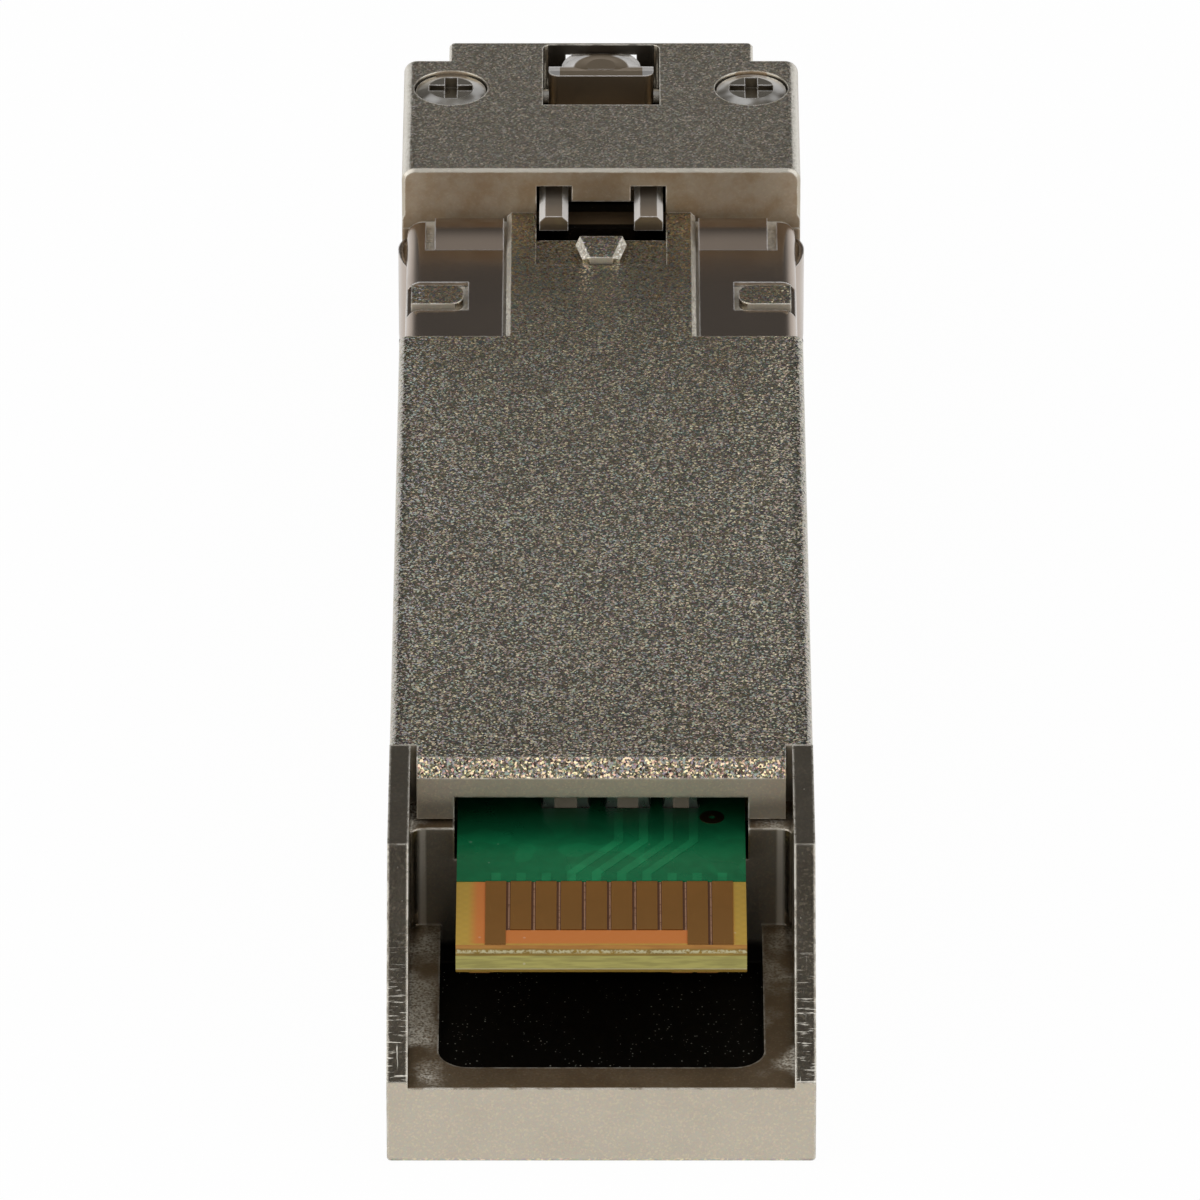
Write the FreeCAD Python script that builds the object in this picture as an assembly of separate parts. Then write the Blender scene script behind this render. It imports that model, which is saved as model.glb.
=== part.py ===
import FreeCAD, Part
import math
import os

Vector = FreeCAD.Vector

# Small pluggable optical transceiver, lying on its top cover with the latch side up.
# Sizes are in millimetres. X runs across the module, Y along it with the nose at +Y, Z is up.
# Stations along Y are counted from the latch shoulder until the pieces are centred at the end.

# Envelope of the two castings
body_width = 13.55
body_height = 8.5
head_step = 1.66
rear_reach = 45.0
nose_reach = 11.8
stop_reach = 2.5
cover_depth = 2.1
slider_bed_depth = 0.6
floor_thickness = 0.9
cover_plate = 1.0
side_wall = 1.275
bay_corner = 0.5
nose_block_length = 13.0
nose_block_roof = 0.9
bay_front_wall = 1.2
body_edge_round = 0.3
head_edge_round = 0.45
stop_edge_chamfer = 0.1
nose_edge_chamfer = 0.08
nose_corner_round = 0.2

# Connector end
cover_setback = 10.43
cover_chamfer = 0.5
cover_wall = 0.97
cover_lip = 1.2
tongue_side_gap = 0.205
tongue_lift = 0.1
skirt_setback = 11.7
skirt_thickness = 0.67
skirt_level = 6.2
skirt_end_height = 3.03
rim_height = 2.81
rim_end_width = 1.26
rim_side_width = 0.95
rear_pocket_floor = 1.4
rear_pocket_corner = 1.0
saddle_setback = 10.0
saddle_thickness = 1.4
saddle_corner = 0.4

# Circuit board and its edge contacts
board_thickness = 1.0
board_drop = 2.25
board_setback = 2.8
board_tail_width = 9.2
board_tail_length = 9.6
board_bay_gap = 0.3
board_side_gap = 0.1
board_bevel = 0.25
board_front_setback = 9.5
ledge_overlap = 0.35
ledge_setback = 0.5
rib_setback = 2.0
contact_count = 10
contact_pitch = 0.8
contact_width = 0.66
contact_thickness = 0.03
contact_offset = 0.25
contact_length_short = 3.0
contact_length_long = 3.9
contact_start = 4.15
long_contacts = (0, 8, 9)

# Optical ports in the nose
port_pitch = 6.25
port_size = 4.7
port_depth = 8.6
port_axis_drop = 3.4
port_lead = 0.3
key_width = 2.4
key_reach = 3.3
key_lip = 1.4
latch_room_width = 4.0
latch_room_length = 2.6
bulkhead_thickness = 1.6

# Optical subassemblies
barrel_radius = 1.47
barrel_reach = 3.1
barrel_clearance = 0.1
flange_radius = 2.25
flange_thickness = 0.7
groove_radius = 1.8
groove_width = 0.6
sleeve_radius = 0.95
sleeve_bore_radius = 0.6255
sleeve_length = 4.2
sleeve_fit = 0.01
can_radius = 1.9
can_length = 2.3
header_radius = 2.3
header_thickness = 1.0
pin_radius = 0.2
pin_circle_radius = 1.0
pin_count = 4
optics_side_gap = 0.075
optics_rear_gap = 1.5
retainer_clearance = 0.06
flex_thickness = 0.15
flex_width = 3.6
flex_bend = 0.8
flex_stand_off = 0.15
flex_tail = 1.8
flex_lower_reach = 1.7

# Parts on the board
driver_size = 4.0
driver_height = 0.85
driver_place = (-2.2, -16.5)
amplifier_size = 3.0
amplifier_height = 0.8
amplifier_place = (2.6, -15.5)
controller_size = 5.0
controller_height = 0.9
controller_place = (0.0, -25.5)
memory_length = 3.0
memory_width = 2.0
memory_height = 0.75
memory_place = (1.2, -21.0)
thermal_pad_thickness = 0.5
pedestal_margin = 0.3
tail_chip_width = 0.8
tail_chip_height = 0.6
tail_chip_gap = 0.14
tail_chips = ((-1.14, 1.4), (0.85, 1.3), (2.55, 1.0))
chip_length = 1.0
chip_width = 0.5
chip_height = 0.5
chip_columns = (-3.6, -2.2, 3.2)
chip_first_row = -14.0
chip_row_pitch = 3.0
chip_rows = 6
resistor_height = 0.35
resistor_shift = 1.3

# Collar with spring fingers
collar_reach = 6.2
collar_recess = 0.35
collar_sheet = 0.15
collar_fit = 0.02
collar_corner = 0.35
collar_end_gap = 0.2
flap_inner = 3.2
flap_edge_gap = 0.1
flap_edge_chamfer = 0.15
finger_root = 0.17
latch_finger_rise = 0.38
flank_finger_rise = 0.3
top_finger_rise = 0.14
finger_ramp = 1.28
finger_tip_gap = 0.35
finger_tip_share = 0.35
finger_gap = 0.3
corner_strip = 0.65
flank_fingers = 2
top_fingers = 4
nub_length = 1.3
nub_width = 1.76
nub_edge = 0.375
nub_start = 2.6
nub_height = 0.33
nub_corner = 0.5
nub_hole_lead = 0.5
nub_hole_gap = 0.15

# Latch boss and its pocket
boss_height = 0.45
boss_length = 1.15
boss_front_width = 1.85
boss_rear_width = 1.17
boss_fall = 0.2
boss_edge_chamfer = 0.2
latch_pocket_edge = 0.7
latch_pocket_width = 4.4
latch_channel_depth = 0.1
latch_channel_tail = 1.2
channel_height = 1.62
guide_rib_width = 2.0
guide_rib_length = 1.5
guide_rib_gap = 0.48

# Release slider
slider_travel = 1.05
slider_lift = 0.05
slider_side_gap = 0.1
slider_web = 0.5
slider_web_setback = 1.8
tine_setback = 0.6
tine_width = 0.98
tine_height = 0.55
tine_length = 4.5
tine_edge_chamfer = 0.2
slot_width = 4.0
slot_length = 4.6
slot_bar = 0.18
slot_bar_gap = 0.08
mouth_side_gap = 0.1
slot_corner = 0.3
slider_block_gap = 0.2
slider_block_setback = 1.5
slider_block_length = 0.87
slider_block_corner = 0.33
slider_shoulder_length = 0.5
slider_shoulder_drop = 0.1
slider_crown_drop = 0.06
lug_radius = 1.36
lug_setback = 1.62
lug_tail = 0.4
lug_crown_radius = 0.5
lug_slope_radius = 0.95
lug_slope_drop = 0.08
lug_rim_drop = 0.25
lug_underside = 0.1
chin_setback = 0.95
chin_drop = 0.42
finger_pocket_gap = 0.06
finger_pocket_roof = 0.12
finger_pocket_flare = 0.16

# Wire bail and its grip
wire_radius = 0.4
wire_bend = 0.6
wire_bend_steps = 3
pivot_setback = 0.9
pivot_lift = 0.1
pivot_fit = 0.05
notch_length = 1.4
notch_width = 1.55
notch_floor_gap = 0.4
bail_arm_margin = 0.675
bail_front_gap = 0.15
bail_floor_gap = 0.105
bail_inner_end = 0.85
bail_finger_inset = 0.35
bail_finger_radius = 0.25
bail_finger_tip = 0.1
grip_length = 8.4
grip_reach = 1.6
grip_back = 0.42
grip_wall = 0.125
grip_round = 0.35
grip_fit = 0.01

# Screws that clamp the nose
screw_edge = 1.625
screw_setback = 3.37
screw_head_radius = 1.2
screw_head_height = 0.55
screw_rim_width = 0.42
screw_rim_drop = 0.12
screw_head_gap = 0.06
screw_shank_radius = 0.6
screw_hole_gap = 0.1
screw_thread_fit = 0.02
screw_length = 2.5
screw_end_gap = 0.1
screw_cross_length = 1.5
screw_cross_width = 0.42
screw_cross_depth = 0.4

# Tolerances for picking edges
same_place = 1e-4
parallel_share = 0.99

# Stations and levels that follow from the sizes above
half_width = body_width / 2
head_height = body_height + head_step
rear_y = -rear_reach
nose_y = nose_reach
part_z = body_height - cover_depth
nose_part_z = body_height - slider_bed_depth
block_rear_y = nose_y - nose_block_length
cover_end_y = rear_y + cover_setback
cover_wall_y = cover_end_y + cover_wall
skirt_y = rear_y + skirt_setback
skirt_inner = half_width - skirt_thickness
tongue_half = skirt_inner - tongue_side_gap
saddle_y = rear_y + saddle_setback
saddle_front_y = saddle_y + saddle_thickness
board_top_z = body_height - board_drop
board_z = board_top_z - board_thickness
board_end_y = rear_y + board_setback
board_front_y = -board_front_setback
board_window = board_tail_width / 2 + board_side_gap
bay_half = half_width - side_wall
board_half = bay_half - board_bay_gap
cover_ceiling_z = body_height - cover_plate
port_x = port_pitch / 2
port_axis_height = nose_part_z - port_axis_drop
port_back_y = nose_y - port_depth
bulkhead_y = port_back_y - bulkhead_thickness
flange_end_y = bulkhead_y - flange_thickness
groove_end_y = flange_end_y - groove_width
can_front_y = groove_end_y - flange_thickness
header_front_y = can_front_y - can_length
header_rear_y = header_front_y - header_thickness
barrel_tip_y = port_back_y + barrel_reach
optics_half = port_x + header_radius + optics_side_gap
optics_rear_y = header_rear_y - optics_rear_gap
optics_ceiling_z = nose_part_z - nose_block_roof
collar_core_half = half_width - collar_recess
collar_core_top = body_height - collar_recess
slot_end_y = nose_y - slot_length
pivot_y = nose_y - pivot_setback
pivot_z = nose_part_z + pivot_lift + wire_radius
notch_y = nose_y - notch_length
notch_x = half_width - notch_width
notch_z = pivot_z - wire_radius - notch_floor_gap
slider_floor_z = nose_part_z + slider_lift
slider_web_z = slider_floor_z + slider_web
slider_web_end = stop_reach + slider_web_setback
tine_tip_y = latch_pocket_edge + tine_setback
channel_roof_z = nose_part_z + channel_height
slider_half = latch_pocket_width / 2 - slider_side_gap
slider_block_half = slot_width / 2 - slider_block_gap
slider_block_front = nose_y - slider_block_setback
slider_crown_z = head_height - slider_crown_drop
chin_top_z = slider_crown_z - chin_drop
lug_y = nose_y - lug_setback
lug_floor_z = pivot_z + wire_radius + lug_underside
crank_radius = slider_travel / math.sqrt(2)
crank_y = pivot_y + slider_travel / 2
chin_mouth_half = math.sqrt(lug_radius ** 2 - (chin_setback - slot_bar) ** 2) + mouth_side_gap
finger_mouth_half = bail_inner_end + bail_finger_inset + bail_finger_radius + mouth_side_gap
finger_mouth_z = pivot_z + crank_radius + bail_finger_tip
bail_arm_x = half_width - bail_arm_margin
bail_front_y = nose_y + bail_front_gap + wire_radius
grip_height = 2 * (wire_radius + grip_wall)
bail_bar_height = bail_floor_gap + grip_height / 2
grip_front_y = bail_front_y + grip_reach
screw_x = half_width - screw_edge
screw_y = nose_y - screw_setback
screw_seat_z = head_height - screw_head_height
screw_end_z = screw_seat_z - screw_length
finger_lip = stop_reach - finger_tip_gap - finger_root - finger_ramp
nub_outer = half_width - nub_edge
overrun = 1.0
far_up = head_height + overrun
side_x = half_width + overrun
shift_y = -(rear_y + grip_front_y) / 2


def block(x0, x1, y0, y1, z0, z1):
    return Part.makeBox(x1 - x0, y1 - y0, z1 - z0, Vector(x0, y0, z0))


def across(half, y0, y1, z0, z1):
    return block(-half, half, y0, y1, z0, z1)


def rod_x(x0, x1, y, z, radius):
    return Part.makeCylinder(radius, x1 - x0, Vector(x0, y, z), Vector(1, 0, 0))


def rod_y(y0, y1, x, z, radius):
    return Part.makeCylinder(radius, y1 - y0, Vector(x, y0, z), Vector(0, 1, 0))


def rod_z(z0, z1, x, y, radius):
    return Part.makeCylinder(radius, z1 - z0, Vector(x, y, z0), Vector(0, 0, 1))


def closed_face(points):
    return Part.Face(Part.makePolygon(points + points[:1]))


def side_outline(points, half):
    """Carry a side outline of (y, z) points across the module."""
    face = closed_face([Vector(-half, y, z) for y, z in points])
    return face.extrude(Vector(2 * half, 0, 0))


def mirrored(shape):
    return shape.mirror(Vector(0, 0, 0), Vector(1, 0, 0))


def on_both_sides(shape):
    return [shape, mirrored(shape)]


def picked_edges(shape, choose):
    """The edges whose middle point and direction the test accepts."""
    picked = []
    for edge in shape.Edges:
        first = edge.Vertexes[0].Point
        last = edge.Vertexes[-1].Point
        run = last - first
        if run.Length > same_place and choose((first + last) / 2, run.normalize()):
            picked.append(edge)
    return picked


def rounded(shape, radius, choose):
    return shape.makeFillet(radius, picked_edges(shape, choose))


def chamfered(shape, size, choose):
    return shape.makeChamfer(size, picked_edges(shape, choose))


def upright(run):
    return abs(run.z) > parallel_share


def lengthwise(run):
    return abs(run.y) > parallel_share


def crosswise(run):
    return abs(run.x) > parallel_share


def near(value, target):
    return abs(value - target) < same_place


def rounded_section(half, z0, z1, radius, y0, y1):
    """Bar along Y with a rounded rectangular section."""
    bar = across(half, y0, y1, z0, z1)
    return rounded(bar, radius, lambda middle, run: lengthwise(run))


def one_solid(shape):
    """The single solid of a finished boolean result, with merged faces."""
    merged = shape.removeSplitter()
    return merged.Solids[0] if len(merged.Solids) == 1 else merged


def collar_channel():
    """Space round the body that the collar lies in; the latch side keeps its bevelled middle."""
    core = rounded_section(collar_core_half, collar_recess, collar_core_top, collar_corner,
                           -collar_reach, stop_reach)
    room = block(-side_x, side_x, -collar_reach, stop_reach, -overrun, far_up)
    edge_x = flap_inner - flap_edge_chamfer
    right = [Vector(x, -collar_reach, z) for x, z in (
        (flap_inner, collar_core_top - collar_recess), (flap_inner, body_height - flap_edge_chamfer),
        (edge_x, body_height), (edge_x, far_up))]
    left = [Vector(-point.x, point.y, point.z) for point in reversed(right)]
    middle = closed_face(right + left).extrude(Vector(0, collar_reach + stop_reach, 0))
    return room.cut([core, middle])


def port_cutter():
    """Hollow of one optical port: mouth, latch slot, latch room and barrel hole."""
    half = port_size / 2
    z0 = port_axis_height - half
    z1 = port_axis_height + half
    key_z = port_axis_height - key_reach
    lip_y = nose_y - key_lip
    cavity = block(port_x - half, port_x + half, port_back_y, nose_y + overrun, z0, z1)
    key = block(port_x - key_width / 2, port_x + key_width / 2, lip_y, nose_y + overrun,
                key_z, port_axis_height)
    room = block(port_x - latch_room_width / 2, port_x + latch_room_width / 2,
                 lip_y - latch_room_length, lip_y, key_z, port_axis_height)
    hole = rod_y(bulkhead_y - overrun, port_back_y + overrun, port_x, port_axis_height,
                 barrel_radius + barrel_clearance)
    inner = mouth_wire(nose_y - port_lead, half)
    outer = mouth_wire(nose_y, half + port_lead)
    lead = Part.makeLoft([inner, outer], True, True)
    return cavity.fuse([key, room, hole, lead])


def mouth_wire(y, half):
    corners = [(-half, -half), (half, -half), (half, half), (-half, half), (-half, -half)]
    return Part.makePolygon([Vector(port_x + dx, y, port_axis_height + dz) for dx, dz in corners])


def make_top_housing():
    shell = side_outline([
        (rear_y, 0), (nose_y, 0), (nose_y, nose_part_z), (block_rear_y, nose_part_z),
        (block_rear_y, part_z), (skirt_y, part_z), (skirt_y, body_height),
        (skirt_y - skirt_level, body_height), (rear_y, skirt_end_height)], half_width)
    shell = rounded(shell, body_edge_round,
                    lambda middle, run: near(middle.z, 0) and (lengthwise(run) or crosswise(run)))
    between_skirts = across(skirt_inner, rear_y - overrun, saddle_y, rim_height, part_z)
    between_skirts = rounded(between_skirts, saddle_corner,
                             lambda middle, run: upright(run) and near(middle.y, saddle_y))
    over_saddle = across(skirt_inner, rear_y - overrun, skirt_y, part_z, far_up)
    pocket_half = skirt_inner - rim_side_width
    pocket = across(pocket_half, rear_y + rim_end_width, saddle_y, rear_pocket_floor, far_up)
    pocket = rounded(pocket, rear_pocket_corner,
                     lambda middle, run: upright(run) and middle.y < saddle_y - overrun)
    board_room = across(board_window, saddle_y, saddle_front_y, board_z, far_up)
    bay = across(bay_half, saddle_front_y, optics_rear_y, floor_thickness, far_up)
    bay = rounded(bay, bay_corner, lambda middle, run: upright(run) and near(middle.y, saddle_front_y))
    optics_room = across(optics_half, optics_rear_y, bulkhead_y, floor_thickness, optics_ceiling_z)
    corner = block(notch_x, side_x, notch_y, nose_y + overrun, notch_z, far_up)
    thread = rod_z(screw_end_z - screw_end_gap, far_up, screw_x, screw_y,
                   screw_shank_radius + screw_thread_fit)
    hollows = [between_skirts, over_saddle, pocket, board_room, bay, optics_room, collar_channel()]
    for cutter in (corner, thread, port_cutter()):
        hollows += on_both_sides(cutter)
    shell = shell.cut(hollows)
    ledge = block(board_half - ledge_overlap, bay_half, saddle_front_y + ledge_setback,
                  board_front_y, floor_thickness, board_z)
    pedestal_half = driver_size / 2 + pedestal_margin
    pad_x, pad_y = driver_place
    pedestal = block(pad_x - pedestal_half, pad_x + pedestal_half, pad_y - pedestal_half,
                     pad_y + pedestal_half, floor_thickness, board_z - driver_height - thermal_pad_thickness)
    return one_solid(shell.fuse(on_both_sides(ledge) + [pedestal]))


def make_latch_boss():
    """Ramp-topped wedge that the cage's latch hole drops over, steep towards the nose."""
    sections = []
    base_z = body_height - latch_channel_depth
    top_z = body_height + boss_height
    for y, width, z in ((0, boss_front_width, top_z), (-boss_length, boss_rear_width, top_z - boss_fall)):
        corners = [(-width / 2, base_z), (width / 2, base_z), (width / 2, z), (-width / 2, z)]
        sections.append(Part.makePolygon([Vector(x, y, h) for x, h in corners + corners[:1]]))
    boss = Part.makeLoft(sections, True, True)
    return chamfered(boss, boss_edge_chamfer,
                     lambda middle, run: middle.z > body_height and not crosswise(run))


def make_collar_nub():
    """Cast peg that stands through the collar's flap and holds it."""
    inner = nub_outer - nub_width
    nub = block(inner, nub_outer, -nub_start - nub_length, -nub_start,
                collar_core_top, collar_core_top + nub_height)
    return rounded(nub, nub_corner, lambda middle, run: upright(run) and near(middle.x, inner))


def slider_channel():
    """The slider's way: latch pocket, tunnel under the head, open slot and the mouth in its front wall."""
    half = latch_pocket_width / 2
    tunnel = across(half, latch_pocket_edge, slot_end_y, nose_part_z, channel_roof_z)
    pocket = across(half, latch_pocket_edge, stop_reach, nose_part_z, far_up)
    slot = across(slot_width / 2, slot_end_y, nose_y - slot_bar, nose_part_z, far_up)
    slot = rounded(slot, slot_corner, lambda middle, run: upright(run) and near(middle.y, nose_y - slot_bar))
    mouth = across(chin_mouth_half, slot_end_y, nose_y + overrun, nose_part_z, chin_top_z + slot_bar_gap)
    finger_mouth = across(finger_mouth_half, slot_end_y, nose_y + overrun, nose_part_z, finger_mouth_z)
    rib = across(guide_rib_width / 2, stop_reach, stop_reach + guide_rib_length,
                 slider_web_z + guide_rib_gap, channel_roof_z)
    tine_path = across(half, -latch_channel_tail, latch_pocket_edge,
                       body_height - latch_channel_depth, far_up)
    return tunnel.cut(rib).fuse([pocket, slot, mouth, finger_mouth, tine_path])


def make_bottom_housing():
    shell = side_outline([
        (cover_end_y, part_z), (cover_end_y, body_height - cover_chamfer),
        (cover_end_y + cover_chamfer, body_height), (stop_reach, body_height),
        (stop_reach, head_height), (nose_y, head_height), (nose_y, nose_part_z),
        (block_rear_y, nose_part_z), (block_rear_y, part_z)], half_width)
    corner = block(notch_x, side_x, notch_y, nose_y + overrun, nose_part_z - overrun, far_up)
    shell = shell.cut(on_both_sides(corner))
    shell = rounded(shell, nose_corner_round,
                    lambda middle, run: upright(run) and near(middle.y, nose_y))
    shell = rounded(shell, head_edge_round,
                    lambda middle, run: near(middle.z, head_height) and near(abs(middle.x), half_width)
                    and lengthwise(run))
    shell = rounded(shell, body_edge_round,
                    lambda middle, run: near(middle.z, body_height) and near(abs(middle.x), half_width)
                    and lengthwise(run))
    shell = chamfered(shell, stop_edge_chamfer,
                      lambda middle, run: near(middle.z, head_height) and near(middle.y, stop_reach))
    shell = chamfered(shell, nose_edge_chamfer,
                      lambda middle, run: near(middle.z, head_height) and near(middle.y, nose_y))
    rear_corner = block(tongue_half, side_x, rear_y, skirt_y, part_z - overrun, far_up)
    tongue_gap = across(half_width, rear_y, skirt_y, part_z - overrun, part_z + tongue_lift)
    window = across(board_window, rear_y, cover_wall_y, part_z - overrun, body_height - cover_lip)
    bay = across(bay_half, cover_wall_y, block_rear_y - bay_front_wall, part_z - overrun, cover_ceiling_z)
    bay = rounded(bay, bay_corner, lambda middle, run: upright(run))
    groove = rod_x(slot_width / 2 - overrun, notch_x + overrun, pivot_y, pivot_z, wire_radius + pivot_fit)
    groove_way = block(slot_width / 2 - overrun, notch_x + overrun, pivot_y - wire_radius - pivot_fit,
                       pivot_y + wire_radius + pivot_fit, nose_part_z - overrun, pivot_z)
    head_seat = rod_z(screw_seat_z, far_up, screw_x, screw_y, screw_head_radius + screw_head_gap)
    shank_hole = rod_z(nose_part_z - overrun, far_up, screw_x, screw_y, screw_shank_radius + screw_hole_gap)
    hollows = [tongue_gap, window, bay, collar_channel(), slider_channel()]
    for cutter in (rear_corner, groove, groove_way, head_seat, shank_hole):
        hollows += on_both_sides(cutter)
    shell = shell.cut(hollows)
    rib = block(board_half - ledge_overlap, bay_half - board_side_gap, cover_wall_y + rib_setback,
                board_front_y - flex_tail - rib_setback, board_top_z, cover_ceiling_z)
    return one_solid(shell.fuse([make_latch_boss()] + on_both_sides(make_collar_nub()) + on_both_sides(rib)))


def bowed_finger(rise, width):
    """Spring finger in its own frame: width along X, root at the origin, bowed towards +Z."""
    crown = Vector(0, finger_ramp, rise)
    tip = Vector(0, finger_ramp + finger_lip, finger_tip_share * rise)
    ramp = Part.Arc(Vector(0, 0, 0), Vector(0, finger_ramp / 2, 3 * rise / 4), crown)
    lip = Part.Arc(crown, Vector(0, finger_ramp + finger_lip / 2, (3 * rise + tip.z) / 4), tip)
    drop = Vector(0, 0, -collar_sheet)
    outer = [ramp.toShape(), lip.toShape()]
    inner = [edge.translated(drop) for edge in reversed(outer)]
    ends = [Part.makeLine(tip, tip + drop), Part.makeLine(drop, Vector(0, 0, 0))]
    face = Part.Face(Part.Wire([outer[0], outer[1], ends[0], inner[0], inner[1], ends[1]]))
    return face.extrude(Vector(width, 0, 0))


def placed_finger(rise, width, angle, x, z):
    """Turn a finger about the module's length and set the low end of its width at (x, z)."""
    finger = bowed_finger(rise, width)
    finger.rotate(Vector(0, 0, 0), Vector(0, 1, 0), angle)
    finger.translate(Vector(x, finger_root, z))
    return finger


def make_emi_collar():
    front_y = finger_root + finger_ramp + finger_lip
    rear = -collar_reach + collar_end_gap
    inner_half = collar_core_half + collar_fit
    outer_half = inner_half + collar_sheet
    low_inner = collar_recess - collar_fit
    high_inner = collar_core_top + collar_fit
    low_outer = low_inner - collar_sheet
    high_outer = high_inner + collar_sheet
    band = rounded_section(outer_half, low_outer, high_outer, collar_corner + collar_fit + collar_sheet,
                           rear, front_y)
    hollow = rounded_section(inner_half, low_inner, high_inner, collar_corner + collar_fit,
                             rear - overrun, front_y + overrun)
    flap_edge = flap_inner + flap_edge_gap
    latch_gap = across(flap_edge, rear - overrun, front_y + overrun, high_inner - overrun, far_up)
    strip_x = outer_half - corner_strip
    strip_low = low_outer + corner_strip
    strip_high = high_outer - corner_strip
    windows = [across(strip_x, finger_root, front_y + overrun, -overrun, far_up),
               block(-side_x, side_x, finger_root, front_y + overrun, strip_low, strip_high)]
    hole = block(nub_outer - nub_width - nub_hole_gap, nub_outer + nub_hole_gap,
                 -nub_start - nub_length - nub_hole_gap, -nub_start + nub_hole_lead,
                 high_inner - collar_sheet, far_up)
    band = band.cut([hollow, latch_gap] + windows + on_both_sides(hole))
    flap_width = strip_x - finger_gap - flap_edge
    fingers = on_both_sides(placed_finger(latch_finger_rise, flap_width, 0, flap_edge, high_outer))
    flank_pitch = (strip_high - strip_low + finger_gap) / flank_fingers
    for index in range(flank_fingers):
        top = strip_low + (index + 1) * flank_pitch - finger_gap
        flank = placed_finger(flank_finger_rise, flank_pitch - finger_gap, 90, outer_half, top)
        fingers += on_both_sides(flank)
    top_pitch = (2 * strip_x + finger_gap) / top_fingers
    for index in range(top_fingers):
        edge_x = -strip_x + (index + 1) * top_pitch - finger_gap
        fingers.append(placed_finger(top_finger_rise, top_pitch - finger_gap, 180, edge_x, low_outer))
    return one_solid(band.fuse(fingers))


def make_release_slider():
    """Channel-shaped slider: two tines at the latch, a block in the head slot and a round lug in front."""
    strip_front = slot_end_y - slider_travel + slider_block_gap
    web = across(slider_half, slider_web_end, strip_front, slider_floor_z, slider_web_z)
    tine_top = slider_web_z + tine_height
    tine = block(slider_half - tine_width, slider_half, tine_tip_y, tine_tip_y + tine_length,
                 slider_web_z, tine_top)
    tine = chamfered(tine, tine_edge_chamfer,
                     lambda middle, run: near(middle.z, tine_top) and lengthwise(run))
    bridge = across(slider_block_half, strip_front - overrun, slider_block_front,
                    slider_floor_z, slider_web_z)
    body_rear = slider_block_front - slider_block_length
    body = side_outline([
        (body_rear, slider_web_z), (body_rear, slider_crown_z),
        (slider_block_front - slider_shoulder_length, slider_crown_z),
        (slider_block_front, slider_crown_z - slider_shoulder_drop),
        (slider_block_front, slider_web_z)], slider_block_half)
    body = rounded(body, slider_block_corner, lambda middle, run: upright(run) and near(middle.y, body_rear))
    lug = closed_face([
        Vector(radius, lug_y, z) for radius, z in (
            (0, lug_floor_z), (lug_radius, lug_floor_z), (lug_radius, slider_crown_z - lug_rim_drop),
            (lug_slope_radius, slider_crown_z - lug_slope_drop), (lug_crown_radius, slider_crown_z),
            (0, slider_crown_z))]).revolve(Vector(0, lug_y, 0), Vector(0, 0, 1), 360)
    behind = across(side_x, lug_y - lug_radius - overrun, slider_block_front - lug_tail, 0, far_up)
    lug = lug.cut(behind)
    chin = rod_z(lug_floor_z, chin_top_z, 0, nose_y - chin_setback, lug_radius)
    finger_room = bail_finger_radius + finger_pocket_gap
    pocket_roof = pivot_z + crank_radius + bail_finger_radius + finger_pocket_roof
    flare_z = lug_floor_z + finger_pocket_flare
    flare = finger_room + finger_pocket_flare
    pocket = side_outline([
        (crank_y - flare, lug_floor_z), (crank_y - finger_room, flare_z),
        (crank_y - finger_room, pocket_roof), (crank_y + finger_room, pocket_roof),
        (crank_y + finger_room, flare_z), (crank_y + flare, lug_floor_z)],
        lug_radius + overrun)
    slider = web.fuse(on_both_sides(tine) + [bridge, body, lug, chin])
    under_lug = across(side_x, slider_block_front, nose_y + overrun, slider_floor_z - overrun, lug_floor_z)
    return one_solid(slider.cut([pocket, under_lug]))


def bail_corners():
    """Corners of the bail's centre line: pivot, arm down the nose, bar, other arm, other pivot."""
    corners = [Vector(bail_inner_end, pivot_y, pivot_z), Vector(bail_arm_x, pivot_y, pivot_z),
               Vector(bail_arm_x, bail_front_y, pivot_z), Vector(bail_arm_x, bail_front_y, bail_bar_height)]
    return corners + [Vector(-p.x, p.y, p.z) for p in reversed(corners)]


def wire_rod(start, end):
    return Part.makeCylinder(wire_radius, (end - start).Length, start, end - start)


def wire_bend_between(centre, into, away):
    """Quarter bend of the wire from one direction to another, lofted through a few of its sections."""
    rings = []
    for step in range(wire_bend_steps + 1):
        angle = math.pi / 2 * step / wire_bend_steps
        outward = into * math.sin(angle) - away * math.cos(angle)
        along = into * math.cos(angle) + away * math.sin(angle)
        rings.append(Part.Wire(Part.makeCircle(wire_radius, centre + outward * wire_bend, along)))
    return Part.makeLoft(rings, True, True)


def make_bail():
    """Wire of straight rods and bends, with a crank finger at each inner end."""
    corners = bail_corners()
    pieces_of_wire = []
    start = corners[0]
    for before, corner, after in zip(corners, corners[1:], corners[2:]):
        into = (corner - before).normalize()
        away = (after - corner).normalize()
        bend_start = corner - into * wire_bend
        bend_centre = bend_start + away * wire_bend
        pieces_of_wire.append(wire_bend_between(bend_centre, into, away))
        pieces_of_wire.append(wire_rod(start, bend_start))
        start = corner + away * wire_bend
    pieces_of_wire.append(wire_rod(start, corners[-1]))
    root = Vector(bail_inner_end + bail_finger_inset, pivot_y, pivot_z)
    finger = Part.makeCylinder(bail_finger_radius, crank_radius + bail_finger_tip, root, Vector(0, 1, 1))
    return one_solid(pieces_of_wire[0].fuse(pieces_of_wire[1:] + on_both_sides(finger)))


def make_bail_grip():
    half = grip_length / 2
    low = bail_bar_height - grip_height / 2
    grip = across(half, bail_front_y - grip_back, grip_front_y, low, low + grip_height)
    grip = rounded(grip, grip_round, lambda middle, run: upright(run))
    return one_solid(grip.cut(rod_x(-side_x, side_x, bail_front_y, bail_bar_height, wire_radius + grip_fit)))


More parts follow.
